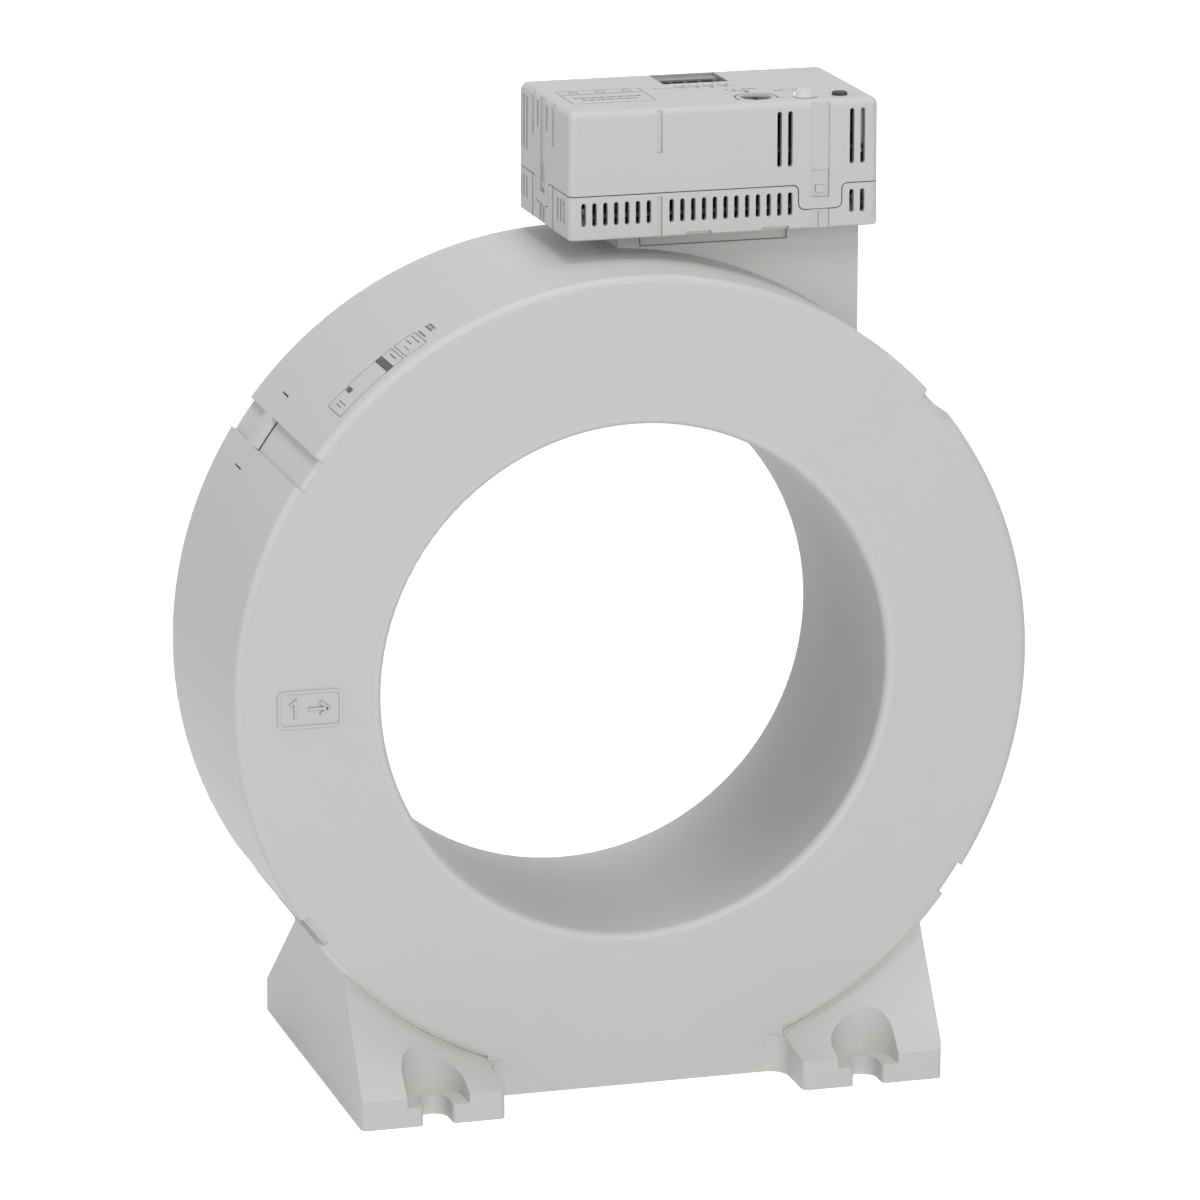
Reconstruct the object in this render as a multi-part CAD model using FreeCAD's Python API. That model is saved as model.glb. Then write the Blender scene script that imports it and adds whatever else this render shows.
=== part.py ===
import FreeCAD, Part
import math
import os

V = FreeCAD.Vector

# All sizes are in millimetres. The origin is the middle of the window, on its axis.
# +Y runs along the window's axis to the rear, +X to the right, +Z up.

# Ring of the housing
bore_radius = 105.0
ring_radius = 165.0
ring_depth = 113.0
edge_radius = 3.0
shell_wall = 4.0
parting_rear_inset = 40.5

# Base block and bolt-down feet
base_below_ring = 4.0
base_rear_inset = 29.5
foot_inner_x = 62.3
foot_outer_x = 121.5
front_foot_projection = 27.5
rear_foot_projection = 24.0
rear_slope_rise = 54.4
pad_height = 12.0
seat_height = 8.0
slot_x = 90.0
slot_setback = 7.8
slot_radius = 6.1
washer_radius = 12.8
foot_corner_radius = 2.5
slot_corner_radius = 2.0
foot_root_radius = 8.0
foot_root_drop = 1.0
base_rib = 3.0

# Raised frame round the front's marking
frame_width = 26.3
frame_height = 15.5
frame_rim = 1.2
frame_shift = 0.45
frame_sink = 1.15
frame_rise = 0.6
frame_corner_radius = 2.8

# Snap stations that hold the two half shells together
station_angles = (40.2, 145.0, 215.0, 325.0)
pocket_width = 14.0
pocket_depth = 2.0
front_pocket_gap = 3.4
rear_pocket_gap = 12.0
flap_reach = 2.6
flap_width = 13.7
flap_slope_start = 2.5
flap_slope_drop = 1.8
slit_angle = 6.05
slit_length = 10.3
slit_width = 0.7
hook_width = 12.0
hook_thickness = 2.7
hook_root_length = 6.0
hook_gap = 0.6
hook_sink = 1.0
barb_gap = 4.0
barb_length = 4.0
barb_height = 2.0

# Pedestal that carries the module
pedestal_height = 8.0
pedestal_left_inset = 26.3
pedestal_right_inset = 1.2
pedestal_front_inset = 21.5
pedestal_wall = 3.0

# Core with its case, windings, screens and cushions
core_thickness = 6.0
core_height = 50.0
core_clearance = 0.4
case_wall = 2.0
winding_thickness = 2.0
winding_gap = 0.3
winding_count = 12
winding_angle = 19.0
screen_thickness = 1.0
screen_height = 84.0
screen_clearance = 0.4
lead_radius = 2.0
lead_hole_radius = 3.0
lead_gap = 0.2
cushion_count = 6
cushion_angle = 7.0
cushion_share = 0.5
cushion_thickness = 4.0
cushion_gap = 0.2
rib_thickness = 3.0
rib_clearance = 0.5

# Module box
module_centre_x = 46.2
module_width = 129.0
module_rear_inset = 3.5
module_depth = 75.0
module_height = 52.0
module_inset_at_top = 0.2
module_corner_radius = 3.0
module_bottom_radius = 0.8
module_wall = 2.2
base_height = 18.0
seam_gap = 0.4
cover_gap = 0.3

# Rows of air slots: each starts beside an edge, groove or latch, and fills the room it has
slot_pitch = 4.5
air_slot_width = 1.9
left_row_inset = 5.95
middle_row_gap = 4.95
right_row_gap = 13.2
upper_row_gap = 17.2
end_front_row_inset = 8.2
end_rear_row_gap = 8.8
row_margin = 3.0
row_corner_margin = 2.5
right_row_margin = 3.7
lower_slot_bottom = 5.7
lower_slot_length = 9.4
upper_slot_bottom = 25.5
upper_slot_length = 22.5
short_slot_bottom = 38.5
short_slot_length = 10.5
short_slot_offset = 6.65

# Snap latches of the module
latch_right_inset = 24.5
latch_front_inset = 40.4
latch_channel_width = 7.6
latch_channel_depth = 1.0
latch_window_bottom = 12.5
latch_window_top = 23.5
latch_window_depth = 0.5
latch_tab_width = 17.8
latch_tab_drop = 10.0
latch_tab_radius = 2.5
latch_rib_width = 1.2
latch_rib_drop = 1.6
latch_nib_width = 3.4
latch_nib_height = 2.8
latch_nib_lift = 2.0

# Grooves, cut-outs and holes of the module
groove_left_inset = 37.45
groove_width = 2.1
groove_depth = 1.2
upper_groove_length = 18.0
lower_groove_length = 16.2
end_groove_front_gap = 15.9
end_groove_rear_gap = 13.9
notch_insets = ((48.3, 58.9), (80.1, 91.3))
notch_height = 1.5
window_length = 27.5
window_width = 22.1
window_right_inset = 47.6
window_rear_inset = 2.5
ledge_width = 5.9
ledge_drop = 1.5
ledge_thickness = 2.0
ledge_margin = 1.0

# Bar in the slot of the pedestal's front
bar_left_inset = 9.2
bar_length = 60.6
bar_height = 7.6
bar_rise = 2.0
bar_end_radius = 1.2
bar_gap = 0.1
bar_slot_depth = 1.5
bar_slot_gap = 0.3
bar_slot_run = 1.4

# Dock connector between pedestal and module
dock_right_inset = 46.7
dock_rear_inset = 26.0
dock_length = 44.0
dock_width = 14.0
dock_wall = 3.0
dock_depth = 13.0
dock_floor = 3.0
dock_gap = 0.3
dock_flange = 3.0
dock_flange_thickness = 2.5
dock_pin_count = 8
dock_pin_pitch = 4.4
dock_pin_size = 1.0
dock_pin_gap = 0.06
dock_pin_tail = 2.0
dock_pin_head = 2.6
plug_reach = 7.0

# Circuit boards, posts and screws
board_thickness = 1.6
board_clearance = 0.8
lower_board_lift = 6.0
upper_board_lift = 31.0
upper_board_reach = 90.7
post_radius = 3.0
post_hole_radius = 1.25
screw_hole_radius = 1.6
screw_head_radius = 2.8
screw_head_height = 2.0
screw_shank_radius = 1.2
screw_length = 6.0
lower_post_inset = 6.0
upper_post_left_inset = 4.5
upper_post_right_inset = 5.5
upper_post_inset = 7.5

# Pieces on the boards
terminal_poles = 4
terminal_pitch = 6.1
terminal_cell_width = 4.7
terminal_cell_depth = 9.5
terminal_cell_drop = 10.0
terminal_gap = 0.3
terminal_right_gap = 2.8
terminal_drop = 1.6
terminal_pin_size = 1.0
terminal_pin_height = 6.0
transformer_size = (28.0, 24.0, 18.0)
transformer_left_inset = 20.3
transformer_rear_inset = 27.0
transformer_core_lip = 3.0
capacitor_radius = 5.0
capacitor_height = 16.0
capacitor_left_inset = 46.3
capacitor_right_inset = 18.7
capacitor_rear_inset = 13.0
capacitor_spacing = 13.0
chip_height = 2.0
chip_insets = ((28.3, 18.0, 12.0, 12.0), (56.3, 18.0, 14.0, 8.0), (90.3, 28.0, 10.0, 10.0))
link_left_inset = 20.0
link_front_inset = 36.0
link_size = (24.0, 5.0)

# Selector on the module's top
selector_right_inset = 47.6
selector_front_inset = 13.2
selector_hole_radius = 6.3
selector_body_size = 13.6
selector_collar_gap = 0.2
selector_collar_drop = 1.0
selector_recess_drop = 0.8
rotor_radius = 4.2
rotor_depth = 7.6
rotor_fit = 0.05
rotor_slot_width = 1.3
rotor_slot_depth = 1.2
rotor_slot_length = 6.6
rotor_arrow_length = 1.5

# Lamp on the module's top
lamp_right_inset = 28.4
lamp_front_inset = 9.4
lens_radius = 4.0
lens_flange_radius = 5.0
lens_flange_thickness = 0.6
lens_height = 3.4
lens_hole_gap = 0.1
lens_bore_radius = 2.8
lens_skirt = 4.0
lamp_radius = 2.5
lamp_height = 7.0
spacer_radius = 2.9
lamp_gap = 0.3

# Test button and its switch
button_right_inset = 13.7
button_front_inset = 9.4
button_radius = 3.1
button_rise = 1.2
button_fit = 0.08
button_travel = 0.8
button_collar_radius = 3.6
button_collar_height = 1.2
button_stem_radius = 1.8
switch_size = 6.2
switch_height = 5.0
plunger_radius = 1.5
plunger_height = 1.6
plunger_well_gap = 0.1

# How far a cutter runs past the face that it opens, and how near counts as the same place
overshoot = 1.0
nearness = 0.01

# Places worked out from the sizes above
half_depth = ring_depth / 2
base_z = -ring_radius - base_below_ring
pad_top_z = base_z + pad_height
seat_z = base_z + seat_height
front_foot_y = -half_depth - front_foot_projection
foot_start_y = -half_depth + edge_radius
rear_foot_y = half_depth + rear_foot_projection
chamber_outer = ring_radius - shell_wall
chamber_inner = bore_radius + shell_wall
chamber_half = half_depth - shell_wall
parting_y = half_depth - parting_rear_inset
base_rear_y = half_depth - base_rear_inset
frame_x = -(bore_radius + ring_radius) / 2 + frame_shift
frame_z = -frame_sink
front_pocket_end_y = parting_y - front_pocket_gap
rear_pocket_start_y = parting_y + rear_pocket_gap
barb_start_y = parting_y + barb_gap
core_radius = (chamber_inner + chamber_outer) / 2
case_inner = core_radius - core_thickness / 2 - core_clearance - case_wall
case_outer = core_radius + core_thickness / 2 + core_clearance + case_wall
case_half = core_height / 2 + case_wall
hook_inner_radius = chamber_outer - hook_gap - hook_thickness
outer_screen_inner_radius = hook_inner_radius - screen_clearance - screen_thickness
inner_screen_outer_radius = chamber_inner + screen_clearance + screen_thickness
cushion_start_y = case_half + winding_gap
cushion_end_y = cushion_start_y + cushion_thickness
cushion_angles = [90 + 180 / winding_count + index * 360 / cushion_count for index in range(cushion_count)]
module_bottom_z = ring_radius + pedestal_height
module_top_z = module_bottom_z + module_height
seam_z = module_bottom_z + base_height
module_left_x = module_centre_x - module_width / 2
module_right_x = module_centre_x + module_width / 2
module_rear_y = half_depth - module_rear_inset
module_front_y = module_rear_y - module_depth
pedestal_top_z = module_bottom_z
pedestal_left_x = module_left_x + pedestal_left_inset
pedestal_right_x = module_right_x - pedestal_right_inset
pedestal_front_y = module_front_y + pedestal_front_inset
pedestal_rear_y = module_rear_y
module_floor_z = module_bottom_z + module_wall
module_ceiling_z = module_top_z - module_wall
lower_board_z = module_floor_z + lower_board_lift
upper_board_z = module_bottom_z + upper_board_lift
upper_board_top_z = upper_board_z + board_thickness
upper_board_left_x = module_right_x - upper_board_reach
latch_x = module_right_x - latch_right_inset
latch_y = module_front_y + latch_front_inset
groove_x = module_left_x + groove_left_inset
end_front_groove_y = latch_y - end_groove_front_gap
end_rear_groove_y = latch_y + end_groove_rear_gap
window_right_x = module_right_x - window_right_inset
window_left_x = window_right_x - window_length
window_rear_y = module_rear_y - window_rear_inset
window_front_y = window_rear_y - window_width
ledge_start_y = window_rear_y - ledge_width
bar_left_x = pedestal_left_x + bar_left_inset
bar_right_x = bar_left_x + bar_length
bar_top_z = pedestal_top_z - bar_gap
bar_bottom_z = bar_top_z - bar_height
dock_x = module_right_x - dock_right_inset
dock_y = module_rear_y - dock_rear_inset
selector_x = module_right_x - selector_right_inset
selector_y = module_front_y + selector_front_inset
lamp_x = module_right_x - lamp_right_inset
lamp_y = module_front_y + lamp_front_inset
button_x = module_right_x - button_right_inset
button_y = module_front_y + button_front_inset


# Small shape helpers

def block(x0, x1, y0, y1, z0, z1):
    """Return a block between two opposite corners."""
    return Part.makeBox(x1 - x0, y1 - y0, z1 - z0, V(x0, y0, z0))


def rod(x, y, z0, z1, radius):
    """Return an upright round rod."""
    return Part.makeCylinder(radius, z1 - z0, V(x, y, z0), V(0, 0, 1))


def disc(radius, y0, y1):
    """Return a round disc on the window's axis."""
    return Part.makeCylinder(radius, y1 - y0, V(0, y0, 0), V(0, 1, 0))


def hoop(outer, inner, y0, y1):
    """Return a plain ring on the window's axis."""
    return disc(outer, y0, y1).cut(disc(inner, y0 - overshoot, y1 + overshoot))


def rounded_hoop(outer, inner, y0, y1, radius):
    """Return a ring whose four circular edges are rounded."""
    ring = hoop(outer, inner, y0, y1)
    circles = [edge for edge in ring.Edges if edge.Closed]
    return ring.makeFillet(radius, circles)


def turned(shape, angle):
    """Return a copy of a shape built at the top of the ring, turned to an angle from +X to +Z."""
    copy = shape.copy()
    copy.rotate(V(0, 0, 0), V(0, 1, 0), 90 - angle)
    return copy


def mirrored(shape, normal):
    """Return the mirror image of a shape in a plane through the origin."""
    return shape.mirror(V(0, 0, 0), normal)


def upright_edges(shape, x, y, z_low, z_high):
    """Return the vertical edges that stand at one place in plan, between two heights."""
    found = []
    for edge in shape.Edges:
        ends = [vertex.Point for vertex in edge.Vertexes]
        if len(ends) != 2 or abs(ends[0].z - ends[1].z) < nearness:
            continue
        near = all(abs(p.x - x) < nearness and abs(p.y - y) < nearness for p in ends)
        inside = all(z_low - nearness < p.z < z_high + nearness for p in ends)
        if near and inside:
            found.append(edge)
    return found


def fused(shapes):
    """Return all shapes joined as one, with the lines between flush faces removed."""
    return shapes[0].fuse(shapes[1:]).removeSplitter()


# Feet

def front_foot_block():
    """Return the right front foot: ruled from the pad to the arc where the ring's rounded edge ends."""
    def ring_edge(x):
        return -math.sqrt(ring_radius ** 2 - x ** 2)
    middle_x = (foot_inner_x + foot_outer_x) / 2
    pad_face = Part.makePolygon([
        V(foot_inner_x, front_foot_y, base_z),
        V(foot_outer_x, front_foot_y, base_z),
        V(foot_outer_x, front_foot_y, pad_top_z),
        V(foot_inner_x, front_foot_y, pad_top_z),
        V(foot_inner_x, front_foot_y, base_z)])
    inner_low = V(foot_inner_x, foot_start_y, base_z)
    outer_low = V(foot_outer_x, foot_start_y, base_z)
    outer_high = V(foot_outer_x, foot_start_y, ring_edge(foot_outer_x))
    inner_high = V(foot_inner_x, foot_start_y, ring_edge(foot_inner_x))
    arc_middle = V(middle_x, foot_start_y, ring_edge(middle_x))
    ring_face = Part.Wire([
        Part.makeLine(inner_low, outer_low),
        Part.makeLine(outer_low, outer_high),
        Part.Arc(outer_high, arc_middle, inner_high).toShape(),
        Part.makeLine(inner_high, inner_low)])
    return Part.makeLoft([pad_face, ring_face], True, True)


def rear_foot_block():
    """Return the right rear foot: a wedge that slopes from the base's rear wall to the pad."""
    wedge = Part.makePolygon([
        V(foot_inner_x, base_rear_y, base_z),
        V(foot_inner_x, rear_foot_y, base_z),
        V(foot_inner_x, rear_foot_y, pad_top_z),
        V(foot_inner_x, base_rear_y, base_z + rear_slope_rise),
        V(foot_inner_x, base_rear_y, base_z)])
    return Part.Face(wedge).extrude(V(foot_outer_x - foot_inner_x, 0, 0))


def washer_cut(end_y):
    """Return what a right foot loses: the bolt slot, open at the pad's end, and its washer recess."""
    outward = math.copysign(1, end_y)
    slot_y = end_y - outward * slot_setback
    low_y, high_y = sorted((slot_y, end_y + outward * overshoot))
    above = base_z + ring_radius
    recess = rod(slot_x, slot_y, seat_z, above, washer_radius)
    recess_mouth = block(slot_x - washer_radius, slot_x + washer_radius, low_y, high_y, seat_z, above)
    slot = rod(slot_x, slot_y, base_z - overshoot, seat_z + overshoot, slot_radius)
    slot_mouth = block(slot_x - slot_radius, slot_x + slot_radius, low_y, high_y,
                       base_z - overshoot, seat_z + overshoot)
    return fused([recess, recess_mouth, slot, slot_mouth])


def finished_foot(solid, end_y):
    """Return a right foot with its pad corners and slot mouth rounded and its slot cut."""
    corners = upright_edges(solid, foot_outer_x, end_y, base_z, pad_top_z)
    corners += upright_edges(solid, foot_inner_x, end_y, base_z, pad_top_z)
    solid = solid.makeFillet(foot_corner_radius, corners)
    solid = solid.cut(washer_cut(end_y))
    mouth = upright_edges(solid, slot_x - slot_radius, end_y, base_z, seat_z)
    mouth += upright_edges(solid, slot_x + slot_radius, end_y, base_z, seat_z)
    return solid.makeFillet(slot_corner_radius, mouth)


def foot_root():
    """Return the concave fillet between the right front foot's inner side and the ring's face."""
    top_z = -math.sqrt(ring_radius ** 2 - foot_inner_x ** 2) - foot_root_drop
    corner_x = foot_inner_x - foot_root_radius
    corner_y = -half_depth - foot_root_radius
    corner = block(corner_x, foot_inner_x, corner_y, -half_depth, base_z, top_z)
    return corner.cut(rod(corner_x, corner_y, base_z - overshoot, top_z + overshoot, foot_root_radius))


# Housing

def pedestal():
    """Return the solid pedestal, standing on the ring's outer wall."""
    tower = block(pedestal_left_x, pedestal_right_x, pedestal_front_y, pedestal_rear_y,
                  0, pedestal_top_z)
    return tower.cut(disc(ring_radius - shell_wall / 2, -half_depth, half_depth))


def raised_panel(margin):
    """Return the marking's raised panel, drawn in all round by a margin."""
    half_x = frame_width / 2 - margin
    half_z = frame_height / 2 - margin
    panel = block(frame_x - half_x, frame_x + half_x, -half_depth - frame_rise, -half_depth,
                  frame_z - half_z, frame_z + half_z)
    corners = [edge for edge in panel.Edges if abs(edge.Length - frame_rise) < nearness]
    return panel.makeFillet(frame_corner_radius - margin, corners)


def marking_frame():
    """Return the raised frame on the ring's front face."""
    return raised_panel(0).cut(raised_panel(frame_rim))


def housing_form():
    """Return the solid outer form of both half shells together."""
    ring = rounded_hoop(ring_radius, bore_radius, -half_depth, half_depth, edge_radius)
    base_top_z = -math.sqrt(ring_radius ** 2 - foot_outer_x ** 2) + edge_radius
    base = block(-foot_outer_x, foot_outer_x, foot_start_y, base_rear_y, base_z, base_top_z)
    base_front = block(-foot_inner_x, foot_inner_x, -half_depth, foot_start_y, base_z, base_top_z)
    base = base.fuse(base_front).cut(disc(chamber_outer, -half_depth, half_depth))
    front_foot = finished_foot(front_foot_block(), front_foot_y).fuse(foot_root())
    rear_foot = finished_foot(rear_foot_block(), rear_foot_y)
    rear_foot = rear_foot.cut(disc(chamber_outer, -half_depth, chamber_half))
    feet = [front_foot, rear_foot]
    feet += [mirrored(shape, V(1, 0, 0)) for shape in feet]
    return fused([ring, base, pedestal(), marking_frame()] + feet)


def base_hollow():
    """Return the hollow cells of the base block, between its ribs."""
    inset = foot_outer_x - shell_wall
    hollow = block(-inset, inset, foot_start_y + shell_wall, base_rear_y - shell_wall,
                   base_z + shell_wall, -bore_radius)
    for x in (-foot_inner_x, 0, foot_inner_x):
        hollow = hollow.cut(block(x - base_rib / 2, x + base_rib / 2, -ring_depth, ring_depth,
                                  base_z, -bore_radius + overshoot))
    return hollow.cut(disc(ring_radius, -ring_depth, ring_depth))


def pedestal_hollow():
    """Return the hollow inside the pedestal, above the ring's outer wall."""
    hollow = block(pedestal_left_x + pedestal_wall, pedestal_right_x - pedestal_wall,
                   pedestal_front_y + pedestal_wall, pedestal_rear_y - pedestal_wall,
                   0, pedestal_top_z - pedestal_wall)
    return hollow.cut(disc(ring_radius, -ring_depth, ring_depth))


def bar_slot():
    """Return the slot in the pedestal's front that the bar lies in, with room at its right end."""
    return block(bar_left_x - bar_slot_gap, bar_right_x + bar_slot_run,
                 pedestal_front_y - overshoot, pedestal_front_y + bar_slot_depth,
                 bar_bottom_z - bar_slot_gap, pedestal_top_z + overshoot)


def dock_opening():
    """Return the hole in the pedestal's top that the dock socket looks through."""
    half_x = dock_length / 2 + dock_gap
    half_y = dock_width / 2 + dock_gap
    return block(dock_x - half_x, dock_x + half_x, dock_y - half_y, dock_y + half_y,
                 pedestal_top_z - pedestal_wall - overshoot, pedestal_top_z + overshoot)


def pocket(y0, y1):
    """Return a shallow pocket in the ring's rim, at the top, whose floor keeps the rim's form."""
    floor = rounded_hoop(ring_radius - pocket_depth, chamber_inner, -half_depth, half_depth, edge_radius)
    cutter = block(-pocket_width / 2, pocket_width / 2, y0, y1,
                   chamber_outer, ring_radius + overshoot)
    return cutter.cut(floor)


def flap():
    """Return the end of a rear shell's snap flap, at the top, before its nose is sloped."""
    body = block(-flap_width / 2, flap_width / 2, parting_y - flap_reach, parting_y + flap_slope_start,
                 chamber_inner, ring_radius + overshoot)
    return body.common(hoop(ring_radius, chamber_outer, -half_depth, half_depth))


def flap_slope():
    """Return what the flap's nose loses to its slope."""
    nose_y = parting_y - flap_reach
    root_y = parting_y + flap_slope_start
    slope = Part.makePolygon([
        V(-pocket_width / 2, root_y, ring_radius),
        V(-pocket_width / 2, nose_y - overshoot, ring_radius - flap_slope_drop),
        V(-pocket_width / 2, nose_y - overshoot, ring_radius + overshoot),
        V(-pocket_width / 2, root_y, ring_radius + overshoot),
        V(-pocket_width / 2, root_y, ring_radius)])
    return Part.Face(slope).extrude(V(pocket_width, 0, 0))


def slit(side):
    """Return one of the two cuts that free a snap flap from the rear shell's rim."""
    cutter = block(-slit_width / 2, slit_width / 2, parting_y - overshoot, parting_y + slit_length,
                   chamber_outer - overshoot, ring_radius + overshoot)
    cutter.rotate(V(0, 0, 0), V(0, 1, 0), side * slit_angle)
    return cutter


def hook():
    """Return a front shell's hook, at the top: it reaches under the flap and ends in a barb."""
    half = hook_width / 2
    root_y = front_pocket_end_y - hook_root_length
    tip_y = barb_start_y + barb_length
    arm = block(-half, half, root_y, tip_y, bore_radius, ring_radius)
    arm = arm.common(hoop(chamber_outer - hook_gap, hook_inner_radius, root_y, tip_y))
    root = block(-half, half, root_y, front_pocket_end_y, bore_radius, ring_radius)
    root = root.common(hoop(chamber_outer + hook_sink, hook_inner_radius, root_y, front_pocket_end_y))
    top_z = chamber_outer - hook_gap - hook_sink
    barb = Part.makePolygon([
        V(-half, barb_start_y, top_z),
        V(-half, barb_start_y, chamber_outer - hook_gap + barb_height),
        V(-half, tip_y, top_z),
        V(-half, barb_start_y, top_z)])
    return fused([arm, root, Part.Face(barb).extrude(V(hook_width, 0, 0))])


def barb_recess():
    """Return the recess inside a flap that the hook's barb snaps into, at the top."""
    half = hook_width / 2 + hook_gap
    top_z = chamber_outer + barb_height
    return block(-half, half, barb_start_y - hook_gap, barb_start_y + barb_length + hook_gap,
                 chamber_outer - overshoot, top_z)


def core_ribs():
    """Return the ribs on the rear shell's floor that the core's cushions lie on."""
    inner = inner_screen_outer_radius + rib_clearance
    outer = outer_screen_inner_radius - rib_clearance
    rib = block(-rib_thickness / 2, rib_thickness / 2,
                cushion_end_y + cushion_gap, half_depth - shell_wall / 2, inner, outer)
    return [turned(rib, angle) for angle in cushion_angles]


def shells():
    """Return the front and the rear half shell."""
    whole = housing_form()
    chamber = hoop(chamber_outer, chamber_inner, -chamber_half, chamber_half)
    whole = whole.cut([chamber, base_hollow(), pedestal_hollow(), dock_opening(), bar_slot()])
    reach = ring_radius * 2
    front = whole.common(block(-reach, reach, -reach, parting_y, -reach, reach))
    rear = whole.common(block(-reach, reach, parting_y, reach, -reach, reach))
    front_pocket = pocket(-half_depth - overshoot, front_pocket_end_y)
    rear_pocket = pocket(rear_pocket_start_y, half_depth + overshoot)
    flap_way = block(-pocket_width / 2, pocket_width / 2, front_pocket_end_y, parting_y + overshoot,
                     chamber_outer - overshoot, ring_radius + overshoot)
    front_cuts = [turned(shape, angle) for angle in station_angles for shape in (front_pocket, flap_way)]
    rear_cuts = [turned(shape, angle) for angle in station_angles
                 for shape in (rear_pocket, slit(-1), slit(1), flap_slope(), barb_recess())]
    rear_cuts.append(rod(dock_x, dock_y, bore_radius, ring_radius, lead_hole_radius))
    ribs = core_ribs()
    hooks = [turned(hook(), angle) for angle in station_angles]
    flaps = [turned(flap(), angle) for angle in station_angles]
    front = front.cut(front_cuts).fuse(hooks + [mirrored(rib, V(0, 1, 0)) for rib in ribs])
    rear = rear.fuse(flaps + ribs).removeSplitter().cut(rear_cuts)
    return front.removeSplitter(), rear


# Core, windings, screens and cushions

def core():
    """Return the wound core."""
    half = core_thickness / 2
    return hoop(core_radius + half, core_radius - half, -core_height / 2, core_height / 2)


def core_case():
    """Return the round trough that holds the core, open to the rear."""
    trough = hoop(case_outer, case_inner, -case_half, core_height / 2)
    return trough.cut(hoop(case_outer - case_wall, case_inner + case_wall,
                           -core_height / 2, core_height / 2 + overshoot))


def core_case_lid():
    """Return the flat ring that closes the core's case."""
    return hoop(case_outer, case_inner, core_height / 2, case_half)


def windings():
    """Return the coil bundles, each wound round the section of the core's case."""
    inner = winding_gap
    outer = winding_gap + winding_thickness
    turn = hoop(case_outer + outer, case_inner - outer, -case_half - outer, case_half + outer)
    turn = turn.cut(hoop(case_outer + inner, case_inner - inner, -case_half - inner, case_half + inner))
    coil = turn.common(sector(winding_angle, chamber_outer))
    pitch = 360 / winding_count
    return Part.makeCompound([turned(coil, 90 + index * pitch) for index in range(winding_count)])


def winding_leads():
    """Return the sleeve that carries the windings' leads up to the dock's pins."""
    outer = case_outer + winding_gap + winding_thickness
    sleeve = rod(dock_x, dock_y, bore_radius, dock_bottom_z - dock_pin_tail - lead_gap, lead_radius)
    return sleeve.cut(disc(outer + lead_gap, -chamber_half, chamber_half))


def sector(angle, radius):
    """Return a wedge of a disc about the window's axis, centred on the top."""
    half = math.radians(angle / 2)
    reach = radius / math.cos(half)
    outline = Part.makePolygon([
        V(0, -ring_depth, 0),
        V(-reach * math.sin(half), -ring_depth, reach * math.cos(half)),
        V(reach * math.sin(half), -ring_depth, reach * math.cos(half)),
        V(0, -ring_depth, 0)])
    return Part.Face(outline).extrude(V(0, 2 * ring_depth, 0))


def outer_screen():
    """Return the magnetic screen outside the windings, held by the hooks, with the leads' hole."""
    inner = outer_screen_inner_radius
    screen = hoop(inner + screen_thickness, inner, -screen_height / 2, screen_height / 2)
    return screen.cut(rod(dock_x, dock_y, bore_radius, ring_radius, lead_hole_radius))


def inner_screen():
    """Return the magnetic screen round the window's wall."""
    outer = inner_screen_outer_radius
    return hoop(outer, outer - screen_thickness, -screen_height / 2, screen_height / 2)


def cushions():
    """Return the cushions that hold the core's case between the ribs of the shells."""
    half = cushion_share * (ring_radius - bore_radius) / 2
    ring = hoop(core_radius + half, core_radius - half, cushion_start_y, cushion_end_y)
    pad = ring.common(sector(cushion_angle, chamber_outer))
    rear = [turned(pad, angle) for angle in cushion_angles]
    front = [mirrored(shape, V(0, 1, 0)) for shape in rear]
    return Part.makeCompound(rear + front)


# Module box

def tapered_box(inset, bottom_z, top_z):
    """Return the module's outer form, drawn in by an inset, between two heights."""
    def outline(z):
        share = (z - module_bottom_z) / module_height * module_inset_at_top + inset
        x0 = module_left_x + share
        x1 = module_right_x - share
        y0 = module_front_y + share
        y1 = module_rear_y - share
        return Part.makePolygon([V(x0, y0, z), V(x1, y0, z), V(x1, y1, z), V(x0, y1, z), V(x0, y0, z)])
    return Part.makeLoft([outline(bottom_z), outline(top_z)], True, True)


def module_form():
    """Return the solid module with rounded edges."""
    solid = tapered_box(0, module_bottom_z, module_top_z)
    upper = [edge for edge in solid.Edges if edge.BoundBox.ZMax > module_top_z - nearness]
    solid = solid.makeFillet(module_corner_radius, upper)
    bottom = [edge for edge in solid.Edges if edge.BoundBox.ZMax < module_bottom_z + nearness]
    return solid.makeFillet(module_bottom_radius, bottom)


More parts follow.
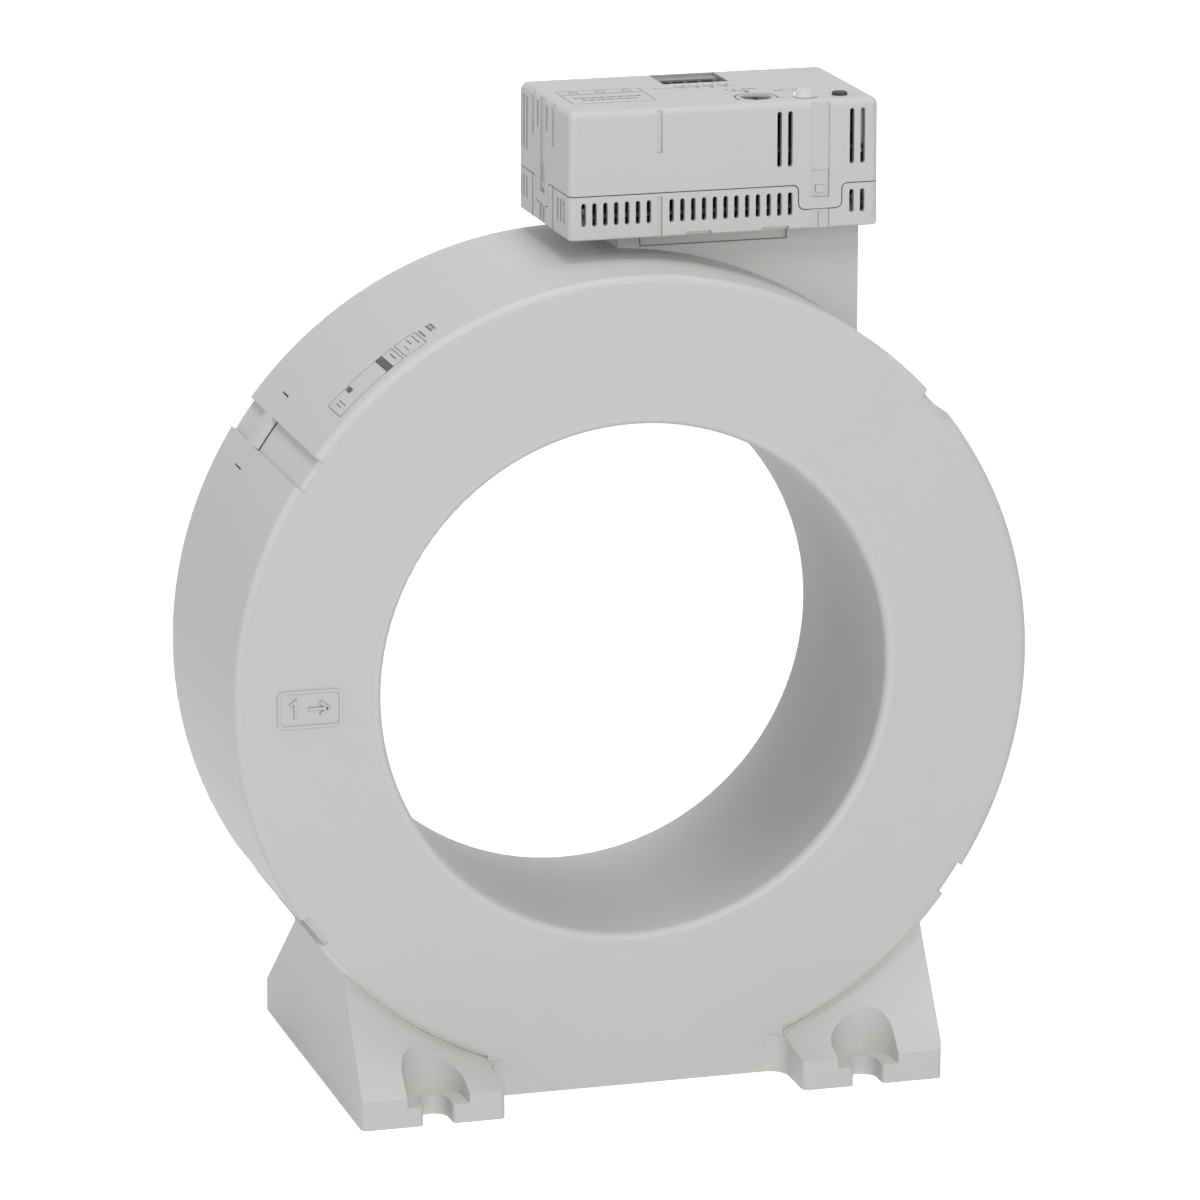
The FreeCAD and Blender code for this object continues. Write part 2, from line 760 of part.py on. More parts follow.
def tab_outline(grow):
    """Return the front wall's tab as a thick plate, grown all round by a gap."""
    half = latch_tab_width / 2 + grow
    low = seam_z - latch_tab_drop - grow
    flare = latch_tab_radius - grow
    nose = latch_tab_radius + grow
    high = seam_z + overshoot
    diagonal = math.sqrt(0.5)

    def at(u, z):
        return V(latch_x + u, module_front_y - overshoot, z)

    def side(sign):
        root = at(sign * half, seam_z - grow - flare)
        root_middle = at(sign * (half + flare * (1 - diagonal)), seam_z - grow - flare * (1 - diagonal))
        root_end = at(sign * (half + flare), seam_z - grow)
        tip = at(sign * half, low + nose)
        tip_middle = at(sign * (half - nose * (1 - diagonal)), low + nose * (1 - diagonal))
        tip_end = at(sign * (half - nose), low)
        return root, root_middle, root_end, tip, tip_middle, tip_end

    left = side(-1)
    right = side(1)
    wire = Part.Wire([
        Part.makeLine(at(-half - flare, high), left[2]),
        Part.Arc(left[2], left[1], left[0]).toShape(),
        Part.makeLine(left[0], left[3]),
        Part.Arc(left[3], left[4], left[5]).toShape(),
        Part.makeLine(left[5], right[5]),
        Part.Arc(right[5], right[4], right[3]).toShape(),
        Part.makeLine(right[3], right[0]),
        Part.Arc(right[0], right[1], right[2]).toShape(),
        Part.makeLine(right[2], at(half + flare, high)),
        Part.makeLine(at(half + flare, high), at(-half - flare, high))])
    return Part.Face(wire).extrude(V(0, module_wall + 2 * overshoot, 0))


def onto_walls(shape):
    """Return a shape built on the front wall at the latch, and its copies on the other three walls."""
    centre = V(module_centre_x, module_front_y + module_depth / 2, 0)
    rear = shape.copy()
    rear.rotate(centre, V(0, 0, 1), 180)
    rear.translate(V(2 * (latch_x - module_centre_x), 0, 0))
    left = shape.copy()
    left.rotate(V(latch_x, module_front_y, 0), V(0, 0, 1), -90)
    left.translate(V(module_left_x - latch_x, latch_y - module_front_y, 0))
    right = left.copy()
    right.rotate(V(module_centre_x, latch_y, 0), V(0, 0, 1), 180)
    return [shape, left, rear, right]


def air_slot(centre, bottom, length):
    """Return one upright air slot through the front wall."""
    radius = air_slot_width / 2
    z0 = module_bottom_z + bottom + radius
    z1 = module_bottom_z + bottom + length - radius
    y0 = module_front_y - overshoot
    y1 = module_front_y + module_wall + module_inset_at_top + overshoot

    def hole(z):
        return Part.makeCylinder(radius, y1 - y0, V(centre, y0, z), V(0, 1, 0))

    middle = block(centre - radius, centre + radius, y0, y1, z0, z1)
    return hole(z0).fuse([hole(z1), middle]).removeSplitter()


def row(first, limit):
    """Return the places of a row of slots, from the first one up to the limit of its room."""
    count = int((limit - first) / slot_pitch) + 1
    return [first + index * slot_pitch for index in range(count)]


def front_slots(bottom, length, places):
    """Return air slots through the front wall, at places along x."""
    return [air_slot(x, bottom, length) for x in places]


def end_slots(bottom, length, places):
    """Return air slots through both end walls, at places along y."""
    return onto_ends([air_slot(front_x_of(y), bottom, length) for y in places])


def front_x_of(y):
    """Return where a shape stands on the front wall, to lie at y once it is moved to an end wall."""
    return latch_x + latch_y - y


def onto_ends(shapes):
    """Return shapes built on the front wall, moved to the left end wall and mirrored to the right."""
    left = [onto_walls(shape)[1] for shape in shapes]
    right = [shape.mirror(V(module_centre_x, 0, 0), V(1, 0, 0)) for shape in left]
    return left + right


def groove(centre, z0, z1):
    """Return a shallow upright groove in the front wall."""
    return block(centre - groove_width / 2, centre + groove_width / 2,
                 module_front_y - overshoot, module_front_y + groove_depth, z0, z1)


def latch_channel():
    """Return the cover's latch channel on the front wall, with the deeper window at its foot."""
    half = latch_channel_width / 2
    window_z = module_bottom_z + latch_window_bottom
    step_z = module_bottom_z + latch_window_top
    channel = block(latch_x - half, latch_x + half, module_front_y - overshoot,
                    module_front_y + latch_channel_depth, step_z, module_top_z + overshoot)
    deep = block(latch_x - half, latch_x + half, module_front_y - overshoot,
                 module_front_y + latch_channel_depth + latch_window_depth, window_z, step_z)
    nib = block(latch_x - latch_nib_width / 2, latch_x + latch_nib_width / 2,
                module_front_y + latch_channel_depth / 2, module_front_y + module_wall,
                window_z + latch_nib_lift, window_z + latch_nib_lift + latch_nib_height)
    return channel.fuse(deep).cut(nib)


def base_channel():
    """Return the base's channel below the latch tab, with its middle rib left standing."""
    half = latch_channel_width / 2
    top_z = seam_z - latch_tab_drop
    channel = block(latch_x - half, latch_x + half, module_front_y - overshoot,
                    module_front_y + latch_channel_depth, module_bottom_z - overshoot, top_z)
    rib = block(latch_x - latch_rib_width / 2, latch_x + latch_rib_width / 2,
                module_front_y, module_front_y + module_wall,
                module_bottom_z - overshoot, top_z - latch_rib_drop)
    return channel.cut(rib)


def posts(places, z0, z1):
    """Return screw posts with their pilot holes, standing between two heights."""
    return [rod(x, y, z0, z1, post_radius) for x, y in places]


def corner_places(x_pair, y_pair):
    """Return the four places given by two x and two y values."""
    return [(x, y) for x in x_pair for y in y_pair]


lower_post_places = corner_places(
    (module_left_x + module_wall + lower_post_inset, module_right_x - module_wall - lower_post_inset),
    (module_front_y + module_wall + lower_post_inset, module_rear_y - module_wall - lower_post_inset))
upper_post_places = corner_places(
    (upper_board_left_x + upper_post_left_inset, module_right_x - upper_post_right_inset),
    (module_front_y + upper_post_inset, module_rear_y - upper_post_inset))


tab_left_limit = latch_x - latch_tab_width / 2 - row_margin
left_row = row(module_left_x + left_row_inset, groove_x - row_margin)
middle_row = row(groove_x + middle_row_gap, tab_left_limit)
upper_row = row(latch_x - upper_row_gap, tab_left_limit)
right_row = row(latch_x + right_row_gap, module_right_x - right_row_margin)
end_front_row = row(module_front_y + end_front_row_inset, end_front_groove_y - row_margin)
end_rear_row = row(end_rear_groove_y + end_rear_row_gap, module_rear_y - row_corner_margin)


def module_shells():
    """Return the module's base and cover, split at the seam and its four snap tabs."""
    walls = module_form().cut(tapered_box(module_wall, module_floor_z, module_ceiling_z))
    reach = module_width * 2
    above = block(-reach, reach, -reach, reach, seam_z, seam_z + reach)
    above_gap = block(-reach, reach, -reach, reach, seam_z - seam_gap, seam_z + reach)
    cover = walls.common(above.fuse(onto_walls(tab_outline(0))))
    base = walls.cut([above_gap] + onto_walls(tab_outline(seam_gap)))
    base = base.cut(front_slots(lower_slot_bottom, lower_slot_length, left_row + middle_row + right_row))
    base = base.cut(end_slots(lower_slot_bottom, lower_slot_length, end_front_row + end_rear_row))
    base = base.cut(onto_walls(base_channel()))
    base = base.cut([groove(groove_x, module_bottom_z - overshoot, module_bottom_z + lower_groove_length)])
    base = base.cut(end_grooves(module_bottom_z - overshoot, seam_z + overshoot))
    base = base.cut([block(module_left_x + near, module_left_x + far,
                           module_front_y - overshoot, module_front_y + module_wall,
                           module_bottom_z - overshoot, module_bottom_z + notch_height)
                     for near, far in notch_insets])
    base = base.fuse(posts(lower_post_places, module_floor_z, lower_board_z))
    base = base.cut([rod(x, y, module_floor_z, lower_board_z + overshoot, post_hole_radius)
                     for x, y in lower_post_places])
    base = base.cut(plug_body(dock_gap, module_bottom_z - overshoot, module_floor_z + overshoot))
    cover = cover.cut(front_slots(upper_slot_bottom, upper_slot_length, upper_row + right_row))
    cover = cover.cut(end_slots(upper_slot_bottom, upper_slot_length, end_rear_row))
    cover = cover.cut(end_slots(short_slot_bottom, short_slot_length,
                                (latch_y - short_slot_offset, latch_y + short_slot_offset)))
    cover = cover.cut(onto_walls(latch_channel()))
    cover = cover.cut([groove(groove_x, module_top_z - upper_groove_length, module_top_z + overshoot)])
    cover = cover.cut(end_grooves(module_top_z - upper_groove_length, module_top_z + overshoot))
    cover = cover.fuse(posts(upper_post_places, upper_board_top_z, module_ceiling_z) + [window_ledge()])
    cover = cover.cut([rod(x, y, upper_board_top_z - overshoot, module_ceiling_z, post_hole_radius)
                       for x, y in upper_post_places])
    cover = cover.cut(top_openings())
    return base.removeSplitter(), cover.removeSplitter()


def end_grooves(z0, z1):
    """Return the grooves each side of the latch on both end walls."""
    return onto_ends([groove(front_x_of(y), z0, z1) for y in (end_front_groove_y, end_rear_groove_y)])


def window_ledge():
    """Return the ledge below the rear part of the terminal window."""
    top_z = module_top_z - ledge_drop
    return block(window_left_x - ledge_margin, window_right_x + ledge_margin,
                 ledge_start_y, module_rear_y - module_inset_at_top - module_wall / 2,
                 top_z - ledge_thickness, top_z)


def top_openings():
    """Return the terminal window and the round holes in the cover's top."""
    z1 = module_top_z + overshoot
    low = module_ceiling_z - overshoot
    window_front = block(window_left_x, window_right_x, window_front_y, ledge_start_y, low, z1)
    window_rear = block(window_left_x, window_right_x, ledge_start_y, window_rear_y,
                        module_top_z - ledge_drop, z1)
    selector_hole = rod(selector_x, selector_y, low, z1, selector_hole_radius)
    lamp_hole = rod(lamp_x, lamp_y, low, z1, lens_radius + lens_hole_gap)
    button_hole = rod(button_x, button_y, low, z1, button_radius + button_fit)
    return [window_front, window_rear, selector_hole, lamp_hole, button_hole]


# Bar and dock connector

def dock_bar():
    """Return the bar that lies in the slot of the pedestal's front, under the module."""
    y0 = pedestal_front_y - bar_rise
    y1 = pedestal_front_y + bar_slot_depth
    bar = block(bar_left_x, bar_right_x, y0, y1, bar_bottom_z, bar_top_z)
    ends = upright_edges(bar, bar_left_x, y0, bar_bottom_z, bar_top_z)
    ends += upright_edges(bar, bar_right_x, y0, bar_bottom_z, bar_top_z)
    return bar.makeFillet(bar_end_radius, ends)


def dock_pin_places():
    """Return the x places of the dock's pins."""
    first = dock_x - dock_pin_pitch * (dock_pin_count - 1) / 2
    return [first + dock_pin_pitch * index for index in range(dock_pin_count)]


def dock_pin(x, z0, z1, grow):
    """Return one square pin, or its hole if grown."""
    half = dock_pin_size / 2 + grow
    return block(x - half, x + half, dock_y - half, dock_y + half, z0, z1)


dock_bottom_z = pedestal_top_z - dock_depth
dock_well_z = dock_bottom_z + dock_floor


def dock_socket():
    """Return the socket in the pedestal, with its flange below the pedestal's top wall."""
    top_z = pedestal_top_z - dock_gap
    half_x = dock_length / 2
    half_y = dock_width / 2
    under_z = pedestal_top_z - pedestal_wall - dock_gap
    body = block(dock_x - half_x, dock_x + half_x, dock_y - half_y, dock_y + half_y, dock_bottom_z, top_z)
    flange = block(dock_x - half_x - dock_flange, dock_x + half_x + dock_flange,
                   dock_y - half_y - dock_flange, dock_y + half_y + dock_flange,
                   under_z - dock_flange_thickness, under_z)
    well = block(dock_x - half_x + dock_wall, dock_x + half_x - dock_wall,
                 dock_y - half_y + dock_wall, dock_y + half_y - dock_wall, dock_well_z, top_z + overshoot)
    holes = [dock_pin(x, dock_bottom_z - overshoot, dock_well_z + overshoot, dock_pin_gap)
             for x in dock_pin_places()]
    return body.fuse(flange).removeSplitter().cut([well] + holes)


def dock_pins():
    """Return the socket's pins."""
    top_z = pedestal_top_z - dock_pin_head
    low_z = dock_bottom_z - dock_pin_tail
    return Part.makeCompound([dock_pin(x, low_z, top_z, 0) for x in dock_pin_places()])


def plug_body(grow, z0, z1):
    """Return the plug's block between two heights, grown sideways by a gap."""
    half_x = dock_length / 2 - dock_wall - dock_gap + grow
    half_y = dock_width / 2 - dock_wall - dock_gap + grow
    return block(dock_x - half_x, dock_x + half_x, dock_y - half_y, dock_y + half_y, z0, z1)


def dock_plug():
    """Return the plug below the lower board, with a hole for each pin."""
    low_z = module_bottom_z - plug_reach
    body = plug_body(0, low_z, lower_board_z)
    holes = [dock_pin(x, low_z - overshoot, module_bottom_z, dock_pin_gap) for x in dock_pin_places()]
    return body.cut(holes)


# Boards and what they carry

def lower_board():
    """Return the lower circuit board on the base's posts."""
    inset = module_wall + board_clearance
    board = block(module_left_x + inset, module_right_x - inset,
                  module_front_y + inset, module_rear_y - inset,
                  lower_board_z, lower_board_z + board_thickness)
    return board.cut([rod(x, y, lower_board_z - overshoot, lower_board_z + board_thickness + overshoot,
                          screw_hole_radius) for x, y in lower_post_places])


def upper_board():
    """Return the upper circuit board under the cover's posts."""
    inset = module_wall + board_clearance + module_inset_at_top
    board = block(upper_board_left_x, module_right_x - inset,
                  module_front_y + inset, module_rear_y - inset, upper_board_z, upper_board_top_z)
    return board.cut([rod(x, y, upper_board_z - overshoot, upper_board_top_z + overshoot,
                          screw_hole_radius) for x, y in upper_post_places])


def screw(x, y, seat_height_z, direction):
    """Return a board screw whose head rests at a height and whose shank points up or down."""
    head = Part.makeCylinder(screw_head_radius, screw_head_height, V(x, y, seat_height_z),
                             V(0, 0, -direction))
    shank = Part.makeCylinder(screw_shank_radius, screw_length, V(x, y, seat_height_z),
                              V(0, 0, direction))
    return head.fuse(shank).removeSplitter()


def board_screws():
    """Return the screws of both boards."""
    lower = [screw(x, y, lower_board_z + board_thickness, -1) for x, y in lower_post_places]
    upper = [screw(x, y, upper_board_z, 1) for x, y in upper_post_places]
    return Part.makeCompound(lower + upper)


def terminal_places():
    """Return the x places of the terminal block's poles."""
    middle = (terminal_left_x + terminal_right_x) / 2
    first = middle - terminal_pitch * (terminal_poles - 1) / 2
    return [first + terminal_pitch * index for index in range(terminal_poles)]


terminal_top_z = module_top_z - terminal_drop
terminal_cell_z = terminal_top_z - terminal_cell_drop
terminal_left_x = window_left_x + terminal_gap
terminal_right_x = window_right_x - terminal_right_gap
terminal_front_y = window_front_y + terminal_gap
terminal_rear_y = ledge_start_y - terminal_gap
terminal_middle_y = (terminal_front_y + terminal_rear_y) / 2


def terminal_block():
    """Return the terminal block under the window, with one cell for each pole."""
    body = block(terminal_left_x, terminal_right_x, terminal_front_y, terminal_rear_y,
                 upper_board_top_z, terminal_top_z)
    cells = [block(x - terminal_cell_width / 2, x + terminal_cell_width / 2,
                   terminal_middle_y - terminal_cell_depth / 2,
                   terminal_middle_y + terminal_cell_depth / 2,
                   terminal_cell_z, terminal_top_z + overshoot) for x in terminal_places()]
    return body.cut(cells)


def terminal_pins():
    """Return the contacts that stand in the terminal block's cells."""
    half = terminal_pin_size / 2
    return Part.makeCompound([block(x - half, x + half, terminal_middle_y - half, terminal_middle_y + half,
                                    terminal_cell_z, terminal_cell_z + terminal_pin_height)
                              for x in terminal_places()])


def transformer():
    """Return the supply transformer: a square coil with core lips above and below."""
    width, depth, height = transformer_size
    x = module_left_x + transformer_left_inset
    y = module_rear_y - transformer_rear_inset
    z = lower_board_z + board_thickness
    coil = block(x - width / 2 + transformer_core_lip, x + width / 2 - transformer_core_lip,
                 y - depth / 2, y + depth / 2, z, z + height)
    lips = [block(x - width / 2, x + width / 2, y - depth / 2 + transformer_core_lip,
                  y + depth / 2 - transformer_core_lip, low, low + transformer_core_lip)
            for low in (z + transformer_core_lip, z + height - 2 * transformer_core_lip)]
    return fused([coil] + lips)


def capacitors():
    """Return the capacitors on the lower board."""
    z = lower_board_z + board_thickness
    left_x = module_left_x + capacitor_left_inset
    right_x = module_right_x - capacitor_right_inset
    rear_y = module_rear_y - capacitor_rear_inset
    places = ((left_x, rear_y), (left_x, rear_y - capacitor_spacing), (right_x, rear_y))
    return Part.makeCompound([rod(x, y, z, z + capacitor_height, capacitor_radius) for x, y in places])


def chips():
    """Return the chips on the lower board."""
    z = lower_board_z + board_thickness
    found = []
    for left, front, width, depth in chip_insets:
        x = module_left_x + left
        y = module_front_y + front
        found.append(block(x - width / 2, x + width / 2, y - depth / 2, y + depth / 2, z, z + chip_height))
    return Part.makeCompound(found)


def board_link():
    """Return the connector that joins the two boards."""
    x = upper_board_left_x + link_left_inset
    y = module_front_y + link_front_inset
    length, width = link_size
    return block(x - length / 2, x + length / 2, y - width / 2, y + width / 2,
                 lower_board_z + board_thickness, upper_board_z)


# Selector, lamp and test button

rotor_top_z = module_top_z - selector_recess_drop
rotor_bottom_z = rotor_top_z - rotor_depth


def selector_body():
    """Return the selector's body on the upper board, with its collar and the rotor's well."""
    half = selector_body_size / 2
    body_top_z = module_ceiling_z - cover_gap
    body = block(selector_x - half, selector_x + half, selector_y - half, selector_y + half,
                 upper_board_top_z, body_top_z)
    collar = rod(selector_x, selector_y, body_top_z, module_top_z - selector_collar_drop,
                 selector_hole_radius - selector_collar_gap)
    return body.fuse(collar).cut(rod(selector_x, selector_y, rotor_bottom_z - rotor_fit, module_top_z,
                        rotor_radius + rotor_fit))


def selector_rotor():
    """Return the rotor with its screwdriver slot and the arrow's notch."""
    body = rod(selector_x, selector_y, rotor_bottom_z, rotor_top_z, rotor_radius)
    slot_z = rotor_top_z - rotor_slot_depth
    slot = block(selector_x - rotor_slot_width / 2, selector_x + rotor_slot_width / 2,
                 selector_y - rotor_slot_length / 2, selector_y + rotor_slot_length / 2,
                 slot_z, rotor_top_z + overshoot)
    tip_y = selector_y + rotor_slot_length / 2
    wing = rotor_arrow_length
    arrow = Part.makePolygon([
        V(selector_x, tip_y + wing / 3, slot_z),
        V(selector_x - wing, tip_y - wing, slot_z),
        V(selector_x + wing, tip_y - wing, slot_z),
        V(selector_x, tip_y + wing / 3, slot_z)])
    head = Part.Face(arrow).extrude(V(0, 0, rotor_slot_depth + overshoot))
    return body.cut([slot, head])


def lamp_lens():
    """Return the domed lens in the cover's top, with its flange and hollow skirt."""
    flange_z = module_top_z + lens_flange_thickness
    skirt = rod(lamp_x, lamp_y, module_ceiling_z - lens_skirt, flange_z, lens_radius)
    flange = rod(lamp_x, lamp_y, module_top_z, flange_z, lens_flange_radius)
    rise = lens_height - lens_flange_thickness
    dome_radius = (lens_radius ** 2 + rise ** 2) / (2 * rise)
    ball = Part.makeSphere(dome_radius, V(lamp_x, lamp_y, flange_z + rise - dome_radius))
    dome = ball.common(rod(lamp_x, lamp_y, flange_z, flange_z + lens_height, lens_radius))
    hollow = rod(lamp_x, lamp_y, module_ceiling_z - lens_skirt - overshoot, flange_z, lens_bore_radius)
    return fused([skirt, flange, dome]).cut(hollow)


lamp_top_z = module_top_z - lamp_gap
lamp_bottom_z = lamp_top_z - lamp_height


def lamp():
    """Return the round-topped lamp inside the lens."""
    shoulder_z = lamp_top_z - lamp_radius
    body = rod(lamp_x, lamp_y, lamp_bottom_z, shoulder_z, lamp_radius)
    return fused([body, Part.makeSphere(lamp_radius, V(lamp_x, lamp_y, shoulder_z))])


def lamp_spacer():
    """Return the spacer that lifts the lamp from the upper board."""
    return rod(lamp_x, lamp_y, upper_board_top_z, lamp_bottom_z, spacer_radius)


switch_top_z = upper_board_top_z + switch_height
plunger_bottom_z = switch_top_z - plunger_height
plunger_top_z = switch_top_z + plunger_height


def test_button():
    """Return the test button, with a collar under the cover's top and a stem to the switch."""
    cap = rod(button_x, button_y, module_ceiling_z - button_collar_height, module_top_z + button_rise,
              button_radius)
    collar_top_z = module_ceiling_z - cover_gap
    collar = rod(button_x, button_y, collar_top_z - button_collar_height, collar_top_z,
                 button_collar_radius)
    stem = rod(button_x, button_y, plunger_top_z, collar_top_z, button_stem_radius)
    return fused([cap, collar, stem])


def switch_plunger():
    """Return the switch's plunger, which the button's stem presses."""
    return rod(button_x, button_y, plunger_bottom_z, plunger_top_z, plunger_radius)


def test_switch():
    """Return the switch under the button, with the well that its plunger travels in."""
    half = switch_size / 2
    body = block(button_x - half, button_x + half, button_y - half, button_y + half,
                 upper_board_top_z, switch_top_z)
    well = rod(button_x, button_y, plunger_bottom_z - button_travel - plunger_well_gap,
               switch_top_z + overshoot, plunger_radius + button_fit)
    return body.cut(well)


# Files, one for each sub-part

front_shell, rear_shell = shells()
module_base, module_cover = module_shells()

nodes = {
    "front_shell": front_shell,
    "rear_shell": rear_shell,
    "wound_core": core(),
    "core_case": core_case(),
    "core_case_lid": core_case_lid(),
    "sense_windings": windings(),
    "winding_leads": winding_leads(),
    "outer_screen": outer_screen(),
    "inner_screen": inner_screen(),
    "core_cushions": cushions(),
    "dock_bar": dock_bar(),
    "dock_socket": dock_socket(),
    "dock_pins": dock_pins(),
    "dock_plug": dock_plug(),
    "module_base": module_base,
    "module_cover": module_cover,
    "lower_board": lower_board(),
    "upper_board": upper_board(),
    "board_link": board_link(),
    "board_screws": board_screws(),
    "terminal_block": terminal_block(),
    "terminal_pins": terminal_pins(),
    "supply_transformer": transformer(),
    "capacitors": capacitors(),
    "chips": chips(),
    "selector_body": selector_body(),
    "selector_rotor": selector_rotor(),
    "lamp_lens": lamp_lens(),
    "lamp": lamp(),
    "lamp_spacer": lamp_spacer(),
    "test_button": test_button(),
    "switch_plunger": switch_plunger(),
    "test_switch": test_switch(),
}

os.makedirs("parts", exist_ok=True)
for name, shape in nodes.items():
    shape.exportStep("parts/" + name + ".step")
    print(name, "solids", len(shape.Solids), "volume", round(shape.Volume, 1), "valid", shape.isValid())
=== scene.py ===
"""Dresses the packed earth leakage toroid: finishes, printing, small shaped pieces and a studio."""

import math

import bmesh
import bpy
import numpy as np
from bpy.props import FloatProperty, FloatVectorProperty, IntProperty, PointerProperty
from mathutils import Matrix, Vector


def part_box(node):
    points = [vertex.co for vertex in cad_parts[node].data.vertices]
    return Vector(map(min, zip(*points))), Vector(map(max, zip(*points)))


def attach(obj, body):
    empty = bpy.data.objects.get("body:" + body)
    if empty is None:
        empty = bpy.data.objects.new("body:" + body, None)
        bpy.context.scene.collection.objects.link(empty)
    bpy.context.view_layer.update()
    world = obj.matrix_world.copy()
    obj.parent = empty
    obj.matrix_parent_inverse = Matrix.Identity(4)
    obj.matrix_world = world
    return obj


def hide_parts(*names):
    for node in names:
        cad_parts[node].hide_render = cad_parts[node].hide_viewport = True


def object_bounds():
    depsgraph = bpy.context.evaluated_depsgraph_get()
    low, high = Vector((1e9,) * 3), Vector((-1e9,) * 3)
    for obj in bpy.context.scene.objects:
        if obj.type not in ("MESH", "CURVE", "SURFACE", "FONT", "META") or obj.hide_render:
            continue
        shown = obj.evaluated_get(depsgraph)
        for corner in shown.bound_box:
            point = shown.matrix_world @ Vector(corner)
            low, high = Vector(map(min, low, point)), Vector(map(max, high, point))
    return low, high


bl_info = {
    "name": "Earth leakage toroid",
    "version": (1, 0, 0),
    "blender": (4, 5, 0),
    "location": "3D View > Sidebar > Toroid",
    "description": "Finishes, printing, small shaped pieces and a studio for the packed toroid",
    "category": "Object",
}

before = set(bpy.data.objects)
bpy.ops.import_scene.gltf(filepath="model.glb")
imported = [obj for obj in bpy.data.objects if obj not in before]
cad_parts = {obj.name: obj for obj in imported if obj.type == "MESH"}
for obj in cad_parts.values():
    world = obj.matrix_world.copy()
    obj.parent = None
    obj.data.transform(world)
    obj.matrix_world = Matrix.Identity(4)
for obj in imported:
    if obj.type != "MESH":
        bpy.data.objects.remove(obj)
CAD_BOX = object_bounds()

MM = 0.001

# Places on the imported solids, in metres. "Along" is along the window's axis.
RING_RADIUS = 165 * MM
BORE_RADIUS = 105 * MM
EDGE_START = 53.5 * MM  # along: where the window's wall turns into its rounded edges
NOSE_GAP = (12.55 * MM, 13.55 * MM)  # along: the gap before each snap flap's nose
MARKING = (-134.6 * MM, -1.15 * MM)  # x and z of the middle of the front's frame
FRONT_FACE = -56.5 * MM
BOX_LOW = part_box("module_base")[0]
BOX_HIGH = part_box("module_cover")[1]
COVER_TOP = BOX_HIGH.z
BOX_NODES = ("module_base", "module_cover", "dock_bar")

# Places of the printing on the cover, in millimetres: a point is its x and y, a box its left,
# right, near and far side, and a row its y, left and right end
SELECTOR = (63.1, -8.8)
PLATE = (-11.4, 23.0, -4.5, 14.8)
PLATE_ROWS = ((7.4, -8.0, 20.0), (2.7, -5.6, 17.4))
STRIP = (-11.2, 23.4, 16.4, 23.4)
LAMP_ROW = 3.2

# The studio's square lights: where each hangs and how long its side is, in metres
LIGHTS = {
    "front": ((-0.3, -2.9, 0.8), 1.4),
    "high": ((-0.1, -2.2, 2.0), 0.9),
    "side": ((-2.6, 0.1, 0.7), 1.2),
    "back": ((0.4, 3.2, 0.1), 0.6),
    "top": ((0.1, 0.05, 2.6), 1.0),
}

# Sockets of a Mix node that mixes colours
MIX_SHARE, MIX_FIRST, MIX_SECOND, MIX_RESULT = 0, 6, 7, 2


def linear(red, green, blue):
    """Return a colour written as a screen shows it, from 0 to 255, as the light it stands for."""
    part = np.array([red, green, blue]) / 255
    return tuple(np.where(part <= 0.04045, part / 12.92, ((part + 0.055) / 1.055) ** 2.4))


def colour(title, about, value):
    """Return a colour property."""
    return FloatVectorProperty(name=title, description=about, default=value, size=3,
                               subtype="COLOR", min=0, max=1)


def length(title, about, value, low=0.0, high=1.0):
    """Return a length property, in metres, from a value in millimetres."""
    return FloatProperty(name=title, description=about, default=value * MM, min=low, max=high,
                         subtype="DISTANCE", unit="LENGTH", precision=5)


def bearing(title, about, degrees):
    """Return an angle property from degrees."""
    return FloatProperty(name=title, description=about, default=math.radians(degrees),
                         subtype="ANGLE")


def fraction(title, about, value):
    """Return a property for a share, from 0 to 1."""
    return FloatProperty(name=title, description=about, default=value, min=0, max=1,
                         subtype="FACTOR")


# Sizes and colours that a user would change

class FinishSettings(bpy.types.PropertyGroup):
    """Colours and grain of the moulded and printed surfaces."""

    housing: colour("Housing", "Light grey of the moulded housing", linear(203, 204, 201))
    ink: colour("Ink", "Dark grey of the printing", linear(52, 53, 53))
    button: colour("Button", "Dark grey of the test button", linear(56, 57, 58))
    lens: colour("Lens", "Milky white of the lamp's lens", linear(206, 207, 205))
    connector: colour("Connector", "Black of the connectors and inner blocks", linear(38, 38, 39))
    laminate: colour("Board", "Green of the circuit boards", linear(34, 48, 40))
    copper: colour("Copper", "Enamelled copper of the windings", linear(176, 98, 52))
    housing_roughness: fraction("Housing roughness", "How matt the housing is", 0.52)
    grain_depth: length("Grain depth", "Depth of the housing's fine spark grain", 0.012)
    edge_radius: length("Edge radius", "Softness of the ring housing's moulded edges", 0.45)
    box_edge_radius: length("Box edge radius", "Softness of the box's moulded edges", 0.22)


class PrintSettings(bpy.types.PropertyGroup):
    """Line widths and places of the printing and the front's marking."""

    line: length("Line", "Width of a printed line", 0.5)
    film: length("Film", "Thickness of the ink", 0.02)
    digit: length("Digit", "Height of a printed digit", 1.7)
    scale_radius: length("Scale radius", "Radius of the selector's printed arc", 8.5)
    relief_width: length("Relief width", "Width of the front marking's raised strokes", 1.45)
    relief_rise: length("Relief rise", "Rise of the front marking's strokes", 0.85)
    relief_digit: length("Relief digit", "Height of the front marking's digit", 7.0)


